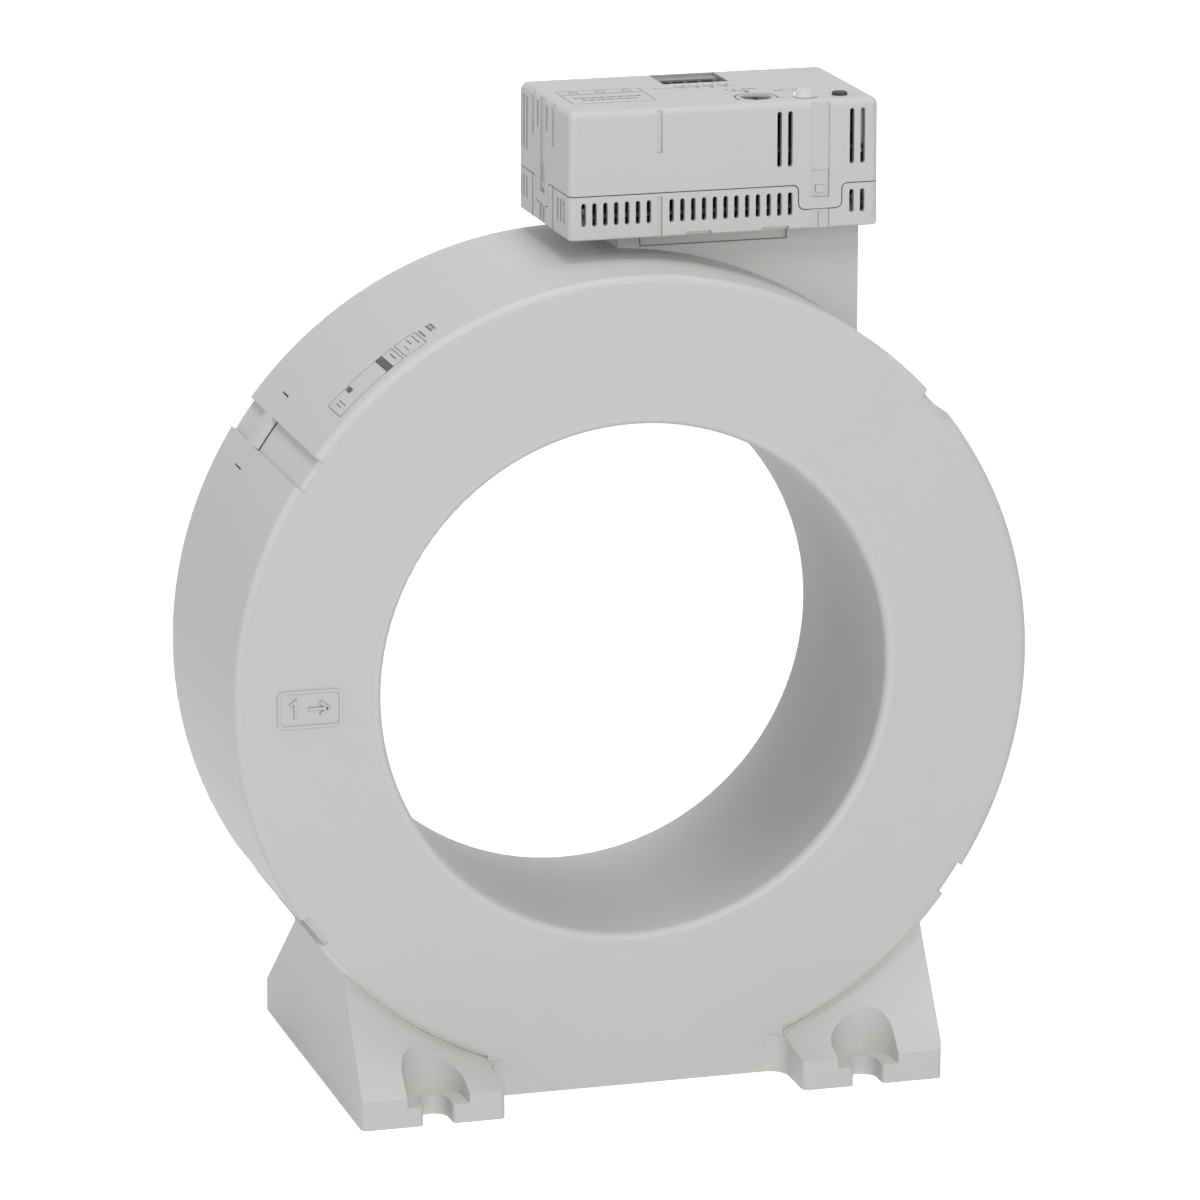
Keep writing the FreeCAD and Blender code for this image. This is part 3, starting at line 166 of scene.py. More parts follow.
class PieceSettings(bpy.types.PropertyGroup):
    """Sizes of the milky lens, the test button and the bar below the box."""

    dome_radius: length("Dome radius", "Radius of the lens's dome at its flange", 4.3)
    crown_radius: length("Crown radius", "Radius where the dome's crown turns to its flank", 2.9)
    flange_radius: length("Flange radius", "Radius of the lens's flange", 4.9)
    flange_thickness: length("Flange thickness", "Thickness of the lens's flange", 0.45)
    flange_lift: length("Flange lift", "Gap under the flange's rim", 0.14)
    dome_rise: length("Dome rise", "Height of the lens above the cover", 3.2)
    button_rounding: length("Button rounding", "Rounding of the button's rim", 0.35)
    button_dish: length("Button dish", "Depth of the hollow in the button's top", 0.18)
    bar_lift: length("Bar lift", "Gap under the bar below the box", 0.45)
    bar_setback: length("Bar setback", "How far the bar's front lies behind the packed one", 0.6)
    bar_rounding: length("Bar rounding", "Rounding of the bar's upper and lower rims", 0.4)
    segments: IntProperty(name="Segments", description="Steps round a turned piece",
                          default=96, min=12, max=256)


class StageSettings(bpy.types.PropertyGroup):
    """Camera and studio light."""

    yaw: bearing("Yaw", "Camera's turn to the left of the front", -16.148)
    pitch: bearing("Pitch", "Camera's height as an angle", 14.627)
    roll: bearing("Roll", "Camera's roll", 0.052)
    distance: length("Distance", "Camera's distance from the window's middle", 2747.9, high=20)
    aim_right: length("Aim right", "How far right of the window's middle the aim is", 0.87, low=-1)
    aim_up: length("Aim up", "How far above the window's middle the aim is", 18.79, low=-1)
    lens: FloatProperty(name="Lens", description="Focal length for a 36 mm sensor",
                        default=202.54, unit="CAMERA")
    ambient: fraction("Ambient", "Strength of the light from all round", 0.24)
    front: fraction("Front", "Share of the front light on a surface that faces it", 0.30)
    high: fraction("High", "Share of the high front light", 0.20)
    back: fraction("Back", "Share of the low light from behind", 0.34)
    side: fraction("Side", "Share of the left light on a surface that faces it", 0.18)
    top: fraction("Top", "Share of the top light on a surface that faces it", 0.33)
    glow: fraction("Glow", "How much whiter the floor is seen than it is lit", 0.66)


# Shader sums

class Signal:
    """A number socket that Python's signs work on: each sign adds one Math node."""

    def __init__(self, nodes, socket):
        self.nodes = nodes
        self.socket = socket

    def sum(self, operation, values, clamp=False):
        """Return the result of one Math node on some values."""
        settings = {"operation": operation, "use_clamp": clamp}
        node = self.nodes.add("ShaderNodeMath", settings, dict(enumerate(values)))
        return Signal(self.nodes, node.outputs[0])

    def math(self, operation, *others, clamp=False):
        """Return the result of one Math node on this value and others."""
        return self.sum(operation, (self,) + others, clamp)

    def __add__(self, other):
        return self.math("ADD", other)

    def __radd__(self, other):
        return self.sum("ADD", (other, self))

    def __sub__(self, other):
        return self.math("SUBTRACT", other)

    def __rsub__(self, other):
        return self.sum("SUBTRACT", (other, self))

    def __mul__(self, other):
        return self.math("MULTIPLY", other)

    def __rmul__(self, other):
        return self.sum("MULTIPLY", (other, self))

    def __pow__(self, other):
        return self.math("POWER", other)

    def __gt__(self, other):
        return self.math("GREATER_THAN", other)

    def __lt__(self, other):
        return self.math("LESS_THAN", other)

    def between(self, low, high):
        """Return 1 where the value lies between two others, and 0 elsewhere."""
        return (self > low) * (self < high)


class Nodes:
    """A node tree, emptied, and the way to add to it."""

    def __init__(self, tree):
        self.tree = tree
        tree.nodes.clear()

    def add(self, kind, settings=None, sockets=None):
        """Return a new node: its settings are made first, then its sockets are set or linked."""
        node = self.tree.nodes.new(kind)
        for key, value in (settings or {}).items():
            setattr(node, key, value)
        for key, value in (sockets or {}).items():
            self.feed(node.inputs[key], value)
        return node

    def feed(self, socket, value):
        """Link a socket to a signal or another socket, or give it a plain value."""
        if isinstance(value, Signal):
            value = value.socket
        if isinstance(value, bpy.types.NodeSocket):
            self.tree.links.new(value, socket)
        elif socket.type == "RGBA":
            socket.default_value = (*value, 1)
        else:
            socket.default_value = value


class Finish(Nodes):
    """A material, its main shader and the nodes that feed it."""

    def __init__(self, name, **fixed):
        self.material = bpy.data.materials.new(name)
        self.material.use_nodes = True
        super().__init__(self.material.node_tree)
        self.shader = self.add("ShaderNodeBsdfPrincipled")
        self.wear(**fixed)
        self.output = self.add("ShaderNodeOutputMaterial", {}, {"Surface": self.shader.outputs[0]})

    def wear(self, **sockets):
        """Feed named sockets of the main shader."""
        for key, value in sockets.items():
            self.feed(self.shader.inputs[key.replace("_", " ")], value)

    def stretched(self, scale=(1, 1, 1)):
        """Return object coordinates, scaled along the axes."""
        source = self.add("ShaderNodeTexCoord").outputs["Object"]
        return self.add("ShaderNodeMapping", {}, {"Scale": scale, "Vector": source}).outputs[0]

    def parts(self, vector):
        """Return a vector's x, y and z as signals."""
        node = self.add("ShaderNodeSeparateXYZ", {}, {"Vector": vector})
        return [Signal(self, output) for output in node.outputs]

    def axes(self):
        """Return x, y and z of the object's coordinates as signals."""
        return self.parts(self.add("ShaderNodeTexCoord").outputs["Object"])

    def noise(self, scale, detail=2.0, roughness=0.5, where=None):
        """Return soft noise of a scale per metre."""
        node = self.add("ShaderNodeTexNoise", {}, {
            "Scale": scale, "Detail": detail, "Roughness": roughness,
            "Vector": where or self.stretched()})
        return Signal(self, node.outputs[0])

    def cells(self, scale, feature="F1", where=None):
        """Return the distance to the nearest cell point or border, for a scale per metre."""
        node = self.add("ShaderNodeTexVoronoi", {"feature": feature},
                        {"Scale": scale, "Vector": where or self.stretched()})
        return Signal(self, node.outputs["Distance"])

    def blend(self, share, first, second):
        """Return a colour between two colours."""
        node = self.add("ShaderNodeMix", {"data_type": "RGBA"},
                        {MIX_SHARE: share, MIX_FIRST: first, MIX_SECOND: second})
        return node.outputs[MIX_RESULT]

    def tinted(self, share, tone, dark, light):
        """Return a tone that wanders from a darker form of itself to a lighter one."""
        return self.blend(share, darker(tone, dark), lighter(tone, light))

    def from_axis(self):
        """Return the distance from the window's axis and the place along it."""
        x, y, z = self.axes()
        return (x * x + z * z) ** 0.5, y

    def facing(self, axis):
        """Return how squarely a face looks along x, y or z (0, 1 or 2), either way."""
        normal = self.add("ShaderNodeNewGeometry").outputs["True Normal"]
        return self.parts(normal)[axis].math("ABSOLUTE")

    def soft_edges(self, radius):
        """Return the normal with its edges rounded to a radius."""
        return self.add("ShaderNodeBevel", {"samples": 4}, {"Radius": radius}).outputs[0]

    def crevice_shade(self, reach):
        """Return how deep a place lies in a gap or pocket narrower than a reach, as a share of
        painted shade.

        That is 0 where at most a quarter of the view is blocked, 0.4 in a square corner and 1 deep
        in a slit.
        """
        node = self.add("ShaderNodeAmbientOcclusion", {"samples": 6}, {"Distance": reach})
        return (0.75 - Signal(self, node.outputs["AO"])).math("MULTIPLY", 1.5, clamp=True)

    def inside(self, box, wall):
        """Return 1 where a place lies in a box, more than a wall away from each of its faces."""
        found = None
        for place, low, high in zip(self.axes(), *box):
            held = place.between(low + wall, high - wall)
            found = held if found is None else found * held
        return found

    def relief(self, height, depth, normal=None):
        """Feed a height pattern to the shader's normal."""
        sockets = {"Strength": 1.0, "Distance": depth, "Height": height}
        if normal is not None:
            sockets["Normal"] = normal
        self.wear(Normal=self.add("ShaderNodeBump", {}, sockets).outputs[0])


def darker(value, share):
    """Return a colour made darker by a share, or lighter where the share is below 0."""
    return tuple(part * (1 - share) for part in value)


def lighter(value, share):
    """Return a colour moved towards white by a share."""
    return tuple(part + (1 - part) * share for part in value)


def wave(signal, per_unit):
    """Return a sine of a signal, from 0 to 1, with its turn given in radians for each unit."""
    return (signal * per_unit).math("SINE") * 0.5 + 0.5


# Places of painted shade and painted highlight

def bore_wall_painted_shade(finish):
    """The window's wall, without its rounded edges, where painted shade darkens the tone."""
    radius, along = finish.from_axis()
    return (radius < BORE_RADIUS + 0.4 * MM) * along.between(-EDGE_START, EDGE_START)


def window_edge_painted_highlight(finish):
    """The rounded front edge of the window, where a painted highlight lightens the tone."""
    radius, along = finish.from_axis()
    return (radius < BORE_RADIUS + 3.2 * MM) * (along < -EDGE_START)


def nose_gap_painted_shade(finish):
    """The deep gap before each snap flap's nose, painted dark as painted shade."""
    radius, along = finish.from_axis()
    return radius.between(RING_RADIUS - 6 * MM, RING_RADIUS - 1.7 * MM) * along.between(*NOSE_GAP)


def foot_seam_painted_highlight(finish):
    """The seam where the feet meet the ring's front edge, lightened as a painted highlight over its
    shade.
    """
    radius, along = finish.from_axis()
    x, _, z = finish.axes()
    rim = radius.between(RING_RADIUS - 1.2 * MM, RING_RADIUS + 0.5 * MM)
    front = along.between(FRONT_FACE + 0.4 * MM, FRONT_FACE + 6 * MM)
    return rim * front * (z < -90 * MM) * (x.math("ABSOLUTE") > 45 * MM)


def marking_flanks_painted_shade(finish):
    """The sloping sides of the front marking and of its frame, darkened with painted shade."""
    x, y, z = finish.axes()
    across = (x - MARKING[0]).math("ABSOLUTE") < 15 * MM
    upright = (z - MARKING[1]).math("ABSOLUTE") < 10 * MM
    return across * upright * (y < FRONT_FACE + 1.5 * MM) * (finish.facing(1) < 0.9)


def terminal_window_painted_shade(finish):
    """The walls of the terminal window in the box's top, darkened with painted shade."""
    x, y, z = finish.axes()
    low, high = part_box("terminal_block")
    across = x.between(low.x - 3 * MM, high.x + 3 * MM)
    along = y.between(low.y - 2 * MM, BOX_HIGH.y - 1 * MM)
    return across * along * z.between(COVER_TOP - 14 * MM, COVER_TOP - 0.4 * MM)


def box_inside_painted_shade(finish):
    """The electronics box's inner faces, darkened with painted shade."""
    return finish.inside((BOX_LOW, BOX_HIGH), 2.4 * MM)


# Painted light on the ring: a share above 0 is painted shade, below 0 a painted highlight
RING_PAINTED_LIGHT = ((bore_wall_painted_shade, 0.15), (window_edge_painted_highlight, -0.05), (nose_gap_painted_shade, 0.93), (foot_seam_painted_highlight, -0.22),
               (marking_flanks_painted_shade, 0.32))
# Painted shade on the box
BOX_PAINTED_SHADE = ((box_inside_painted_shade, 0.35), (terminal_window_painted_shade, 0.42))
GAP_REACH = 0.6 * MM


# Finishes of the real materials

def moulded(name, tone, roughness, grain, edge, clouds=0.02, shine=0.5, slit_shade=0.0, painted_light=()):
    """Moulded plastic: a faint cloudiness, fine spark grain, soft edges and painted shade in narrow
    slits.

    Clouds is how far the tone wanders, and the slit share is how much darker painted shade makes
    the narrow slits. Each entry of painted light is a place and how much darker it is painted, as
    painted shade; a share below 0 paints it lighter, as a painted highlight.
    """
    finish = Finish(name, IOR=1.48, Specular_IOR_Level=shine)
    spread = 0.10
    cloud = finish.noise(14, 3.0)
    speck = finish.noise(900, 2.0)
    mottle = finish.noise(2600, 1.0)
    base = finish.tinted(cloud, tone, clouds, clouds)
    # Painted shade and painted highlights at their places
    for place, share in painted_light:
        base = finish.blend(place(finish), base, darker(tone, share))
    # Painted shade in narrow slits, where occlusion is high
    if slit_shade:
        base = finish.blend(finish.crevice_shade(GAP_REACH), base, darker(tone, slit_shade))
    finish.wear(Base_Color=finish.blend(speck * 0.10, base, darker(tone, 0.18)),
                Roughness=speck * spread + (roughness - spread / 2))
    finish.relief(mottle * 0.7 + speck * 0.3, grain, finish.soft_edges(edge))
    return finish.material


def printed(tone):
    """Pad-printed ink: slightly uneven cover and a matt face."""
    finish = Finish("printing_ink", IOR=1.45)
    cover = finish.noise(2200, 3.0)
    finish.wear(Base_Color=finish.tinted(cover, tone, 0.12, 0.10), Roughness=cover * 0.2 + 0.5)
    finish.relief(cover, 0.004 * MM)
    return finish.material


def milky(tone):
    """Milky lens plastic: light passes a little way in, and the face is smooth."""
    finish = Finish("lens_plastic", IOR=1.49, Subsurface_Weight=0.2, Subsurface_Scale=2 * MM,
                    Subsurface_Radius=(1.0, 1.0, 1.0))
    flow = finish.noise(260, 2.0)
    finish.wear(Base_Color=finish.tinted(flow, tone, 0.02, 0.04), Roughness=flow * 0.08 + 0.34)
    finish.relief(finish.noise(1500, 1.0), 0.003 * MM)
    return finish.material


def resin():
    """Clear yellowish lamp resin."""
    finish = Finish("lamp_resin", IOR=1.5, Transmission_Weight=0.6)
    flow = finish.noise(700, 2.0)
    finish.wear(Base_Color=finish.blend(flow, linear(214, 206, 168), linear(238, 234, 210)),
                Roughness=flow * 0.1 + 0.08)
    return finish.material


def metal(name, tone, roughness, stripes, depth):
    """Rolled or plated metal: fine streaks along one direction and a broken shine."""
    finish = Finish(name, Metallic=1.0)
    streak = finish.noise(60, 4.0, 0.6, finish.stretched(stripes))
    spot = finish.noise(420, 2.0)
    finish.wear(Base_Color=finish.tinted(streak, tone, 0.14, 0.12),
                Roughness=streak * 0.16 + spot * 0.10 + (roughness - 0.12))
    finish.relief(streak, depth)
    return finish.material


def wound_strip(tone):
    """Strip-wound core: thin round layers on the flat sides, with a bluish bloom."""
    finish = Finish("core_metal", Metallic=1.0)
    strip = 0.12 * MM
    layer = wave(finish.from_axis()[0], 2 * math.pi / strip)
    bloom = finish.noise(30, 4.0)
    base = finish.blend(bloom, darker(tone, 0.2), linear(150, 156, 170))
    finish.wear(Base_Color=finish.blend(layer * 0.5, base, darker(tone, 0.45)),
                Roughness=bloom * 0.2 + 0.28)
    finish.relief(layer, 0.01 * MM)
    return finish.material


def enamelled_wire(tone):
    """Coils of enamelled wire: turns side by side round the ring, with painted shade in the grooves
    between them.
    """
    finish = Finish("winding_wire", Metallic=0.75, Coat_Roughness=0.12)
    winding_radius, wire_pitch = 142 * MM, 0.55 * MM
    x, _, z = finish.axes()
    turn = wave(z.math("ARCTAN2", x), 2 * math.pi * winding_radius / wire_pitch)
    drift = finish.noise(90, 3.0)
    base = finish.tinted(drift, tone, 0.2, 0.1)
    # The grooves between turns are darker: painted shade
    finish.wear(Base_Color=finish.blend(turn, darker(tone, 0.7), base),
                Roughness=drift * 0.1 + 0.25, Coat_Weight=turn * 0.6)
    finish.relief(turn, 0.16 * MM)
    return finish.material


def foam(tone):
    """Open foam: pores of two sizes, the larger ones painted darker towards their middles as
    painted shade.
    """
    finish = Finish("cushion_foam")
    pore = finish.cells(900)
    fine = finish.noise(2400, 3.0)
    # Pore middles are darker: painted shade
    finish.wear(Base_Color=finish.tinted(pore, tone, 0.35, 0.1), Roughness=fine * 0.1 + 0.85)
    finish.relief(pore + fine * 0.4, 0.25 * MM)
    return finish.material


def braid(tone):
    """Braided sleeve: two sets of threads that cross as they climb round its axis."""
    finish = Finish("lead_sleeve")
    axis_x, axis_y = 64 * MM, 27 * MM
    climb, threads = 3200, 8  # radians for each metre up, and threads each way
    x, y, z = finish.axes()
    around = (y - axis_y).math("ARCTAN2", x - axis_x)
    left = (z * climb + around * threads).math("SINE")
    right = (z * climb - around * threads).math("SINE")
    weave = left * right * 0.5 + 0.5
    finish.wear(Base_Color=finish.tinted(weave, tone, 0.4, 0.15), Roughness=weave * 0.1 + 0.7)
    finish.relief(weave, 0.12 * MM)
    return finish.material


def laminate(tone):
    """Circuit board: solder mask over tracks, with tinned pads, on the level faces.

    A strip along the front edge, which the air slots show, stays plain.
    """
    finish = Finish("board_laminate", IOR=1.5)
    tracks = finish.cells(320, "DISTANCE_TO_EDGE", finish.stretched((1, 0.35, 1)))
    plain_strip = 9 * MM
    face = (finish.facing(2) > 0.5) * (finish.axes()[1] > BOX_LOW.y + plain_strip)
    track = face * (tracks < 0.05)
    pad = face * (finish.cells(210) < 0.16)
    weave = finish.noise(1800, 2.0)
    mask = finish.blend(track, tone, lighter(tone, 0.12))
    finish.wear(Base_Color=finish.blend(pad, mask, linear(196, 190, 170)),
                Roughness=weave * 0.15 + 0.3, Metallic=pad * 0.8)
    finish.relief(track + weave * 0.2, 0.03 * MM)
    return finish.material


def ribbed_former(tone):
    """Coil former and tape: wrapped turns across the coil."""
    finish = Finish("coil_former")
    wrap = finish.noise(90, 3.0, 0.5, finish.stretched((1, 1, 14)))
    finish.wear(Base_Color=finish.tinted(wrap, tone, 0.25, 0.15), Roughness=wrap * 0.2 + 0.4)
    finish.relief(wrap, 0.06 * MM, finish.soft_edges(0.3 * MM))
    return finish.material


def shrunk_sleeve(tone):
    """Shrunk sleeve of a capacitor: smooth, with a pale stripe every 10 mm along x."""
    finish = Finish("capacitor_sleeve")
    flow = finish.noise(200, 2.0)
    stripe_turn = 628  # radians for each metre
    stripe = ((finish.axes()[0] * stripe_turn).math("SINE") > 0.93) * 0.8
    base = finish.tinted(flow, tone, 0.1, 0.05)
    finish.wear(Base_Color=finish.blend(stripe, base, linear(120, 122, 128)),
                Roughness=flow * 0.1 + 0.25)
    finish.relief(flow, 0.02 * MM, finish.soft_edges(0.4 * MM))
    return finish.material


def finishes(sizes):
    """Return every finish by the name of its slot in the record, and the electronics box's own.

    A moulded finish is given its tone, roughness, depth of grain and softness of edges, and a metal
    its tone, roughness, the noise's scale along each axis and the depth of its streaks.
    """
    black, button = tuple(sizes.connector), tuple(sizes.button)
    shell = (tuple(sizes.housing), sizes.housing_roughness, sizes.grain_depth)
    return {
        "housing": moulded("housing", *shell, sizes.edge_radius, painted_light=RING_PAINTED_LIGHT),
        "box_housing": moulded("box_housing", *shell, sizes.box_edge_radius, slit_shade=0.6,
                               painted_light=BOX_PAINTED_SHADE),
        "black_plastic": moulded("black_plastic", black, 0.55, 0.01 * MM, 0.15 * MM,
                                 clouds=0.1, shine=0.25),
        "case_plastic": moulded("case_plastic", linear(120, 122, 124), 0.5, 0.02 * MM, 0.4 * MM,
                                clouds=0.05),
        "rotor_plastic": moulded("rotor_plastic", linear(52, 53, 54), 0.55, 0.006 * MM, 0.1 * MM,
                                 clouds=0.05, shine=0.3),
        "button_plastic": moulded("button_plastic", button, 0.6, 0.006 * MM, 0.15 * MM,
                                  clouds=0.04, shine=0.2),
        "lens_plastic": milky(tuple(sizes.lens)),
        "lamp_resin": resin(),
        "core_metal": wound_strip(linear(150, 152, 156)),
        "screen_metal": metal("screen_metal", linear(186, 188, 190), 0.34, (1, 12, 1), 0.01 * MM),
        "contact_metal": metal("contact_metal", linear(206, 204, 196), 0.3, (1, 1, 0.1),
                               0.004 * MM),
        "screw_steel": metal("screw_steel", linear(128, 129, 132), 0.38, (1, 1, 1), 0.006 * MM),
        "winding_wire": enamelled_wire(tuple(sizes.copper)),
        "cushion_foam": foam(linear(86, 88, 92)),
        "lead_sleeve": braid(linear(196, 190, 170)),
        "board_laminate": laminate(tuple(sizes.laminate)),
        "coil_former": ribbed_former(linear(128, 116, 74)),
        "capacitor_sleeve": shrunk_sleeve(linear(36, 44, 70)),
    }


# Surfaces

def rounded(points, radii, steps=6, closed=False):
    """Round a polyline's corners.

    Each becomes an arc that touches both runs at radius * tan(half the turn) from the corner.
    """
    points = np.asarray(points, float)
    count = len(points)
    made = []
    for index in range(count):
        radius = radii[index]
        if radius <= 0 or (not closed and index in (0, count - 1)):
            made.append(points[index:index + 1])
            continue
        corner = points[index]
        before = points[index - 1] - corner
        after = points[(index + 1) % count] - corner
        before /= np.linalg.norm(before)
        after /= np.linalg.norm(after)
        half_open = math.acos(np.clip(before @ after, -1, 1)) / 2
        middle = (before + after) / np.linalg.norm(before + after)
        centre = corner + middle * radius / math.sin(half_open)
        first = corner + before * radius / math.tan(half_open) - centre
        last = corner + after * radius / math.tan(half_open) - centre
        share = np.linspace(0, 1, steps + 1)[:, None]
        sweep = math.pi - 2 * half_open
        arc = np.sin((1 - share) * sweep) * first + np.sin(share * sweep) * last
        made.append(centre + arc / math.sin(sweep))
    return np.vstack(made)


def finer(path, step=1.0):
    """Return a path with extra points, so that none of its runs is longer than a step."""
    path = np.asarray(path, float)
    runs = np.linalg.norm(np.diff(path, axis=0), axis=1)
    along = np.concatenate([[0], np.cumsum(runs)])
    extra = np.arange(0, along[-1], step)
    places = np.unique(np.concatenate([along, extra]).round(9))
    return np.stack([np.interp(places, along, path[:, side]) for side in (0, 1)], 1)


def skin(rows, columns, closed=False, capped=True):
    """Return the faces over a grid of points: each joins two neighbours of a row to the next row.

    Each row runs round. A closed grid's last row joins its first one, and an open grid's end rows
    are covered where it is capped.
    """
    row = np.arange(rows if closed else rows - 1)[:, None]
    column = np.arange(columns)[None, :]
    next_row = (row + 1) % rows
    next_column = (column + 1) % columns
    corners = [row * columns + column, row * columns + next_column,
               next_row * columns + next_column, next_row * columns + column]
    faces = np.stack(corners, 2).reshape(-1, 4).tolist()
    if capped and not closed:
        faces.append(list(range(columns))[::-1])
        faces.append([(rows - 1) * columns + index for index in range(columns)])
    return faces


def stroke(path, profile, closed=False):
    """A profile carried along a flat path.

    At each point of the path the profile's sideways places are laid along the bend's middle line,
    stretched by 1 / cos(half the turn), and its heights stand on the third axis. Returns points
    (u, v, w) and faces.
    """
    path = np.asarray(path, float)
    profile = np.asarray(profile, float)
    if closed:
        ahead = np.roll(path, -1, 0) - path
        behind = path - np.roll(path, 1, 0)
    else:
        runs = np.diff(path, axis=0)
        ahead = np.vstack([runs, runs[-1:]])
        behind = np.vstack([runs[:1], runs])
    ahead /= np.linalg.norm(ahead, axis=1)[:, None]
    behind /= np.linalg.norm(behind, axis=1)[:, None]
    middle = ahead + behind
    middle /= np.maximum(np.linalg.norm(middle, axis=1), 1e-9)[:, None]
    stretch = 1 / np.maximum((middle * ahead).sum(1), 0.5)
    side = np.stack([-middle[:, 1], middle[:, 0]], 1) * stretch[:, None]
    flat = path[:, None, :] + side[:, None, :] * profile[None, :, :1]
    tall = np.broadcast_to(profile[None, :, 1:], (len(path), len(profile), 1))
    points = np.concatenate([flat, tall], 2).reshape(-1, 3)
    return points, skin(len(path), len(profile), closed)


def flat_profile(width, low, high):
    """A plain strip's section, from its lower left round to its lower right."""
    return [(-width / 2, low), (width / 2, low), (width / 2, high), (-width / 2, high)]


def raised_profile(foot, crown, high):
    """A raised stroke's section: a foot, sloping sides and a crown with broken corners."""
    sunk = -0.05 * MM
    edge = foot / 2
    inner = crown / 2
    shoulder = inner + (foot - crown) / 6
    shoulder_high = high * 0.85
    return [(-edge, sunk), (edge, sunk), (edge, 0), (shoulder, shoulder_high), (inner, high),
            (-inner, high), (-shoulder, shoulder_high), (-edge, 0)]


def joined(shapes):
    """Return several shapes' points and faces as one list each."""
    points = []
    faces = []
    total = 0
    for shape_points, shape_faces in shapes:
        points.append(shape_points)
        faces += [[index + total for index in face] for face in shape_faces]
        total += len(shape_points)
    return np.vstack(points), faces


def turned(profile, centre, segments):
    """A surface of revolution: x = cx + r cos a, y = cy + r sin a, z = cz + height.

    The profile is (radius, height) from the upper pole, outwards and down, to the lower pole. A
    pole's points fall together and are merged later.
    """
    profile = np.asarray(profile, float)
    angle = np.linspace(0, 2 * math.pi, segments, endpoint=False)
    radius = profile[:, :1]
    points = np.stack([centre[0] + radius * np.cos(angle), centre[1] + radius * np.sin(angle),
                       centre[2] + profile[:, 1:] * np.ones(segments)], 2).reshape(-1, 3)
    return points, skin(len(profile), segments, capped=False)


def rimmed_prism(outline, low, high, edge, steps=4):
    """An upright prism with rounded rims.

    At a turn a round a rim the outline lies edge * (1 - sin a) further in, at edge * (1 - cos a)
    from the end.
    """
    turn = np.linspace(0, math.pi / 2, steps + 1)
    inset = edge * (1 - np.sin(turn))
    lift = edge * (1 - np.cos(turn))
    rows = []
    for share, height in [*zip(inset, low + lift), *zip(inset[::-1], high - lift[::-1])]:
        flat = outline(share)
        rows.append(np.column_stack([flat, np.full(len(flat), height)]))
    return np.vstack(rows), skin(len(rows), len(rows[0]))


def new_piece(name, points, faces, finish, body, smooth=35.0):
    """Make a mesh piece from points and faces, merge its doubles, and let it ride on a body.

    Its edges are sharp where they turn by more than smooth, in degrees.
    """
    same_point, no_length = 1e-7, 1e-8
    mesh = bpy.data.meshes.new(name)
    mesh.from_pydata(np.asarray(points).tolist(), [], faces)
    mesh.materials.append(finish)
    piece = bpy.data.objects.new(name, mesh)
    bpy.context.scene.collection.objects.link(piece)
    work = bmesh.new()
    work.from_mesh(mesh)
    bmesh.ops.remove_doubles(work, verts=work.verts, dist=same_point)
    bmesh.ops.dissolve_degenerate(work, edges=work.edges, dist=no_length)
    bmesh.ops.recalc_face_normals(work, faces=work.faces)
    work.to_mesh(mesh)
    work.free()
    mesh.shade_smooth()
    mesh.set_sharp_from_angle(angle=math.radians(smooth))
    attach(piece, body)
    return piece


# Drawing with strokes

DIGIT_WIDTH = 0.6
DIGITS = {
    "1": [(0.08, 0.78), (0.36, 1.0), (0.36, 0.0)],
    "2": [(0.02, 0.74), (0.1, 0.92), (0.3, 1.0), (0.5, 0.92), (0.58, 0.74), (0.5, 0.54),
          (0.02, 0.0), (0.6, 0.0)],
    "3": [(0.03, 0.86), (0.16, 0.98), (0.34, 1.0), (0.52, 0.9), (0.56, 0.75), (0.48, 0.6),
          (0.26, 0.54), (0.5, 0.46), (0.6, 0.28), (0.53, 0.1), (0.34, 0.0), (0.13, 0.02),
          (0.0, 0.15)],
    "4": [(0.46, 0.0), (0.46, 1.0), (0.0, 0.3), (0.62, 0.3)],
    "5": [(0.55, 1.0), (0.1, 1.0), (0.05, 0.56), (0.28, 0.62), (0.5, 0.54), (0.6, 0.33),
          (0.52, 0.1), (0.3, 0.0), (0.1, 0.03), (0.0, 0.14)],
}


def digit_path(digit, u, v, height):
    """Return the path of a plain digit, centred on a point."""
    return np.asarray(DIGITS[digit]) * height + (u - DIGIT_WIDTH * height / 2, v - height / 2)


def box_path(u0, u1, v0, v1, radius):
    """Return a closed path round a rectangle with rounded corners."""
    return rounded([(u0, v0), (u1, v0), (u1, v1), (u0, v1)], [radius] * 4, 5, closed=True)


def arc_path(u, v, radius, first, last, steps=48):
    """Return a path round part of a circle, between two angles in degrees."""
    angle = np.radians(np.linspace(first, last, steps + 1))
    return np.stack([u + radius * np.cos(angle), v + radius * np.sin(angle)], 1)


def dashes(u0, u1, v, pattern, gap):
    """Return bars in a row from u0 to u1, their lengths taken in turn from a pattern."""
    found = []
    place = u0
    while place < u1 - gap:
        end = min(place + pattern[len(found) % len(pattern)], u1)
        found.append(np.array([(place, v), (end, v)]))
        place = end + gap
    return found


class Drawing:
    """Printed lines on one surface, gathered as strokes."""

    def __init__(self, line, film):
        self.line = line
        self.film = film
        self.shapes = []

    def draw(self, path, width=None, closed=False):
        """Add one line, its path in millimetres and its width in metres."""
        profile = flat_profile(width or self.line, -self.film / 2, self.film)
        self.shapes.append(stroke(np.asarray(path) * MM, profile, closed))

    def several(self, paths, width=None):
        """Add several open lines."""
        for path in paths:
            self.draw(path, width)

    def bar(self, u0, u1, v0, v1):
        """Add a filled rectangle."""
        middle = (v0 + v1) / 2
        self.draw(finer([(u0, middle), (u1, middle)]), abs(v1 - v0) * MM)

    def mapped(self, surface):
        """Return all lines as one shape, laid on a surface."""
        points, faces = joined(self.shapes)
        return surface(points), faces


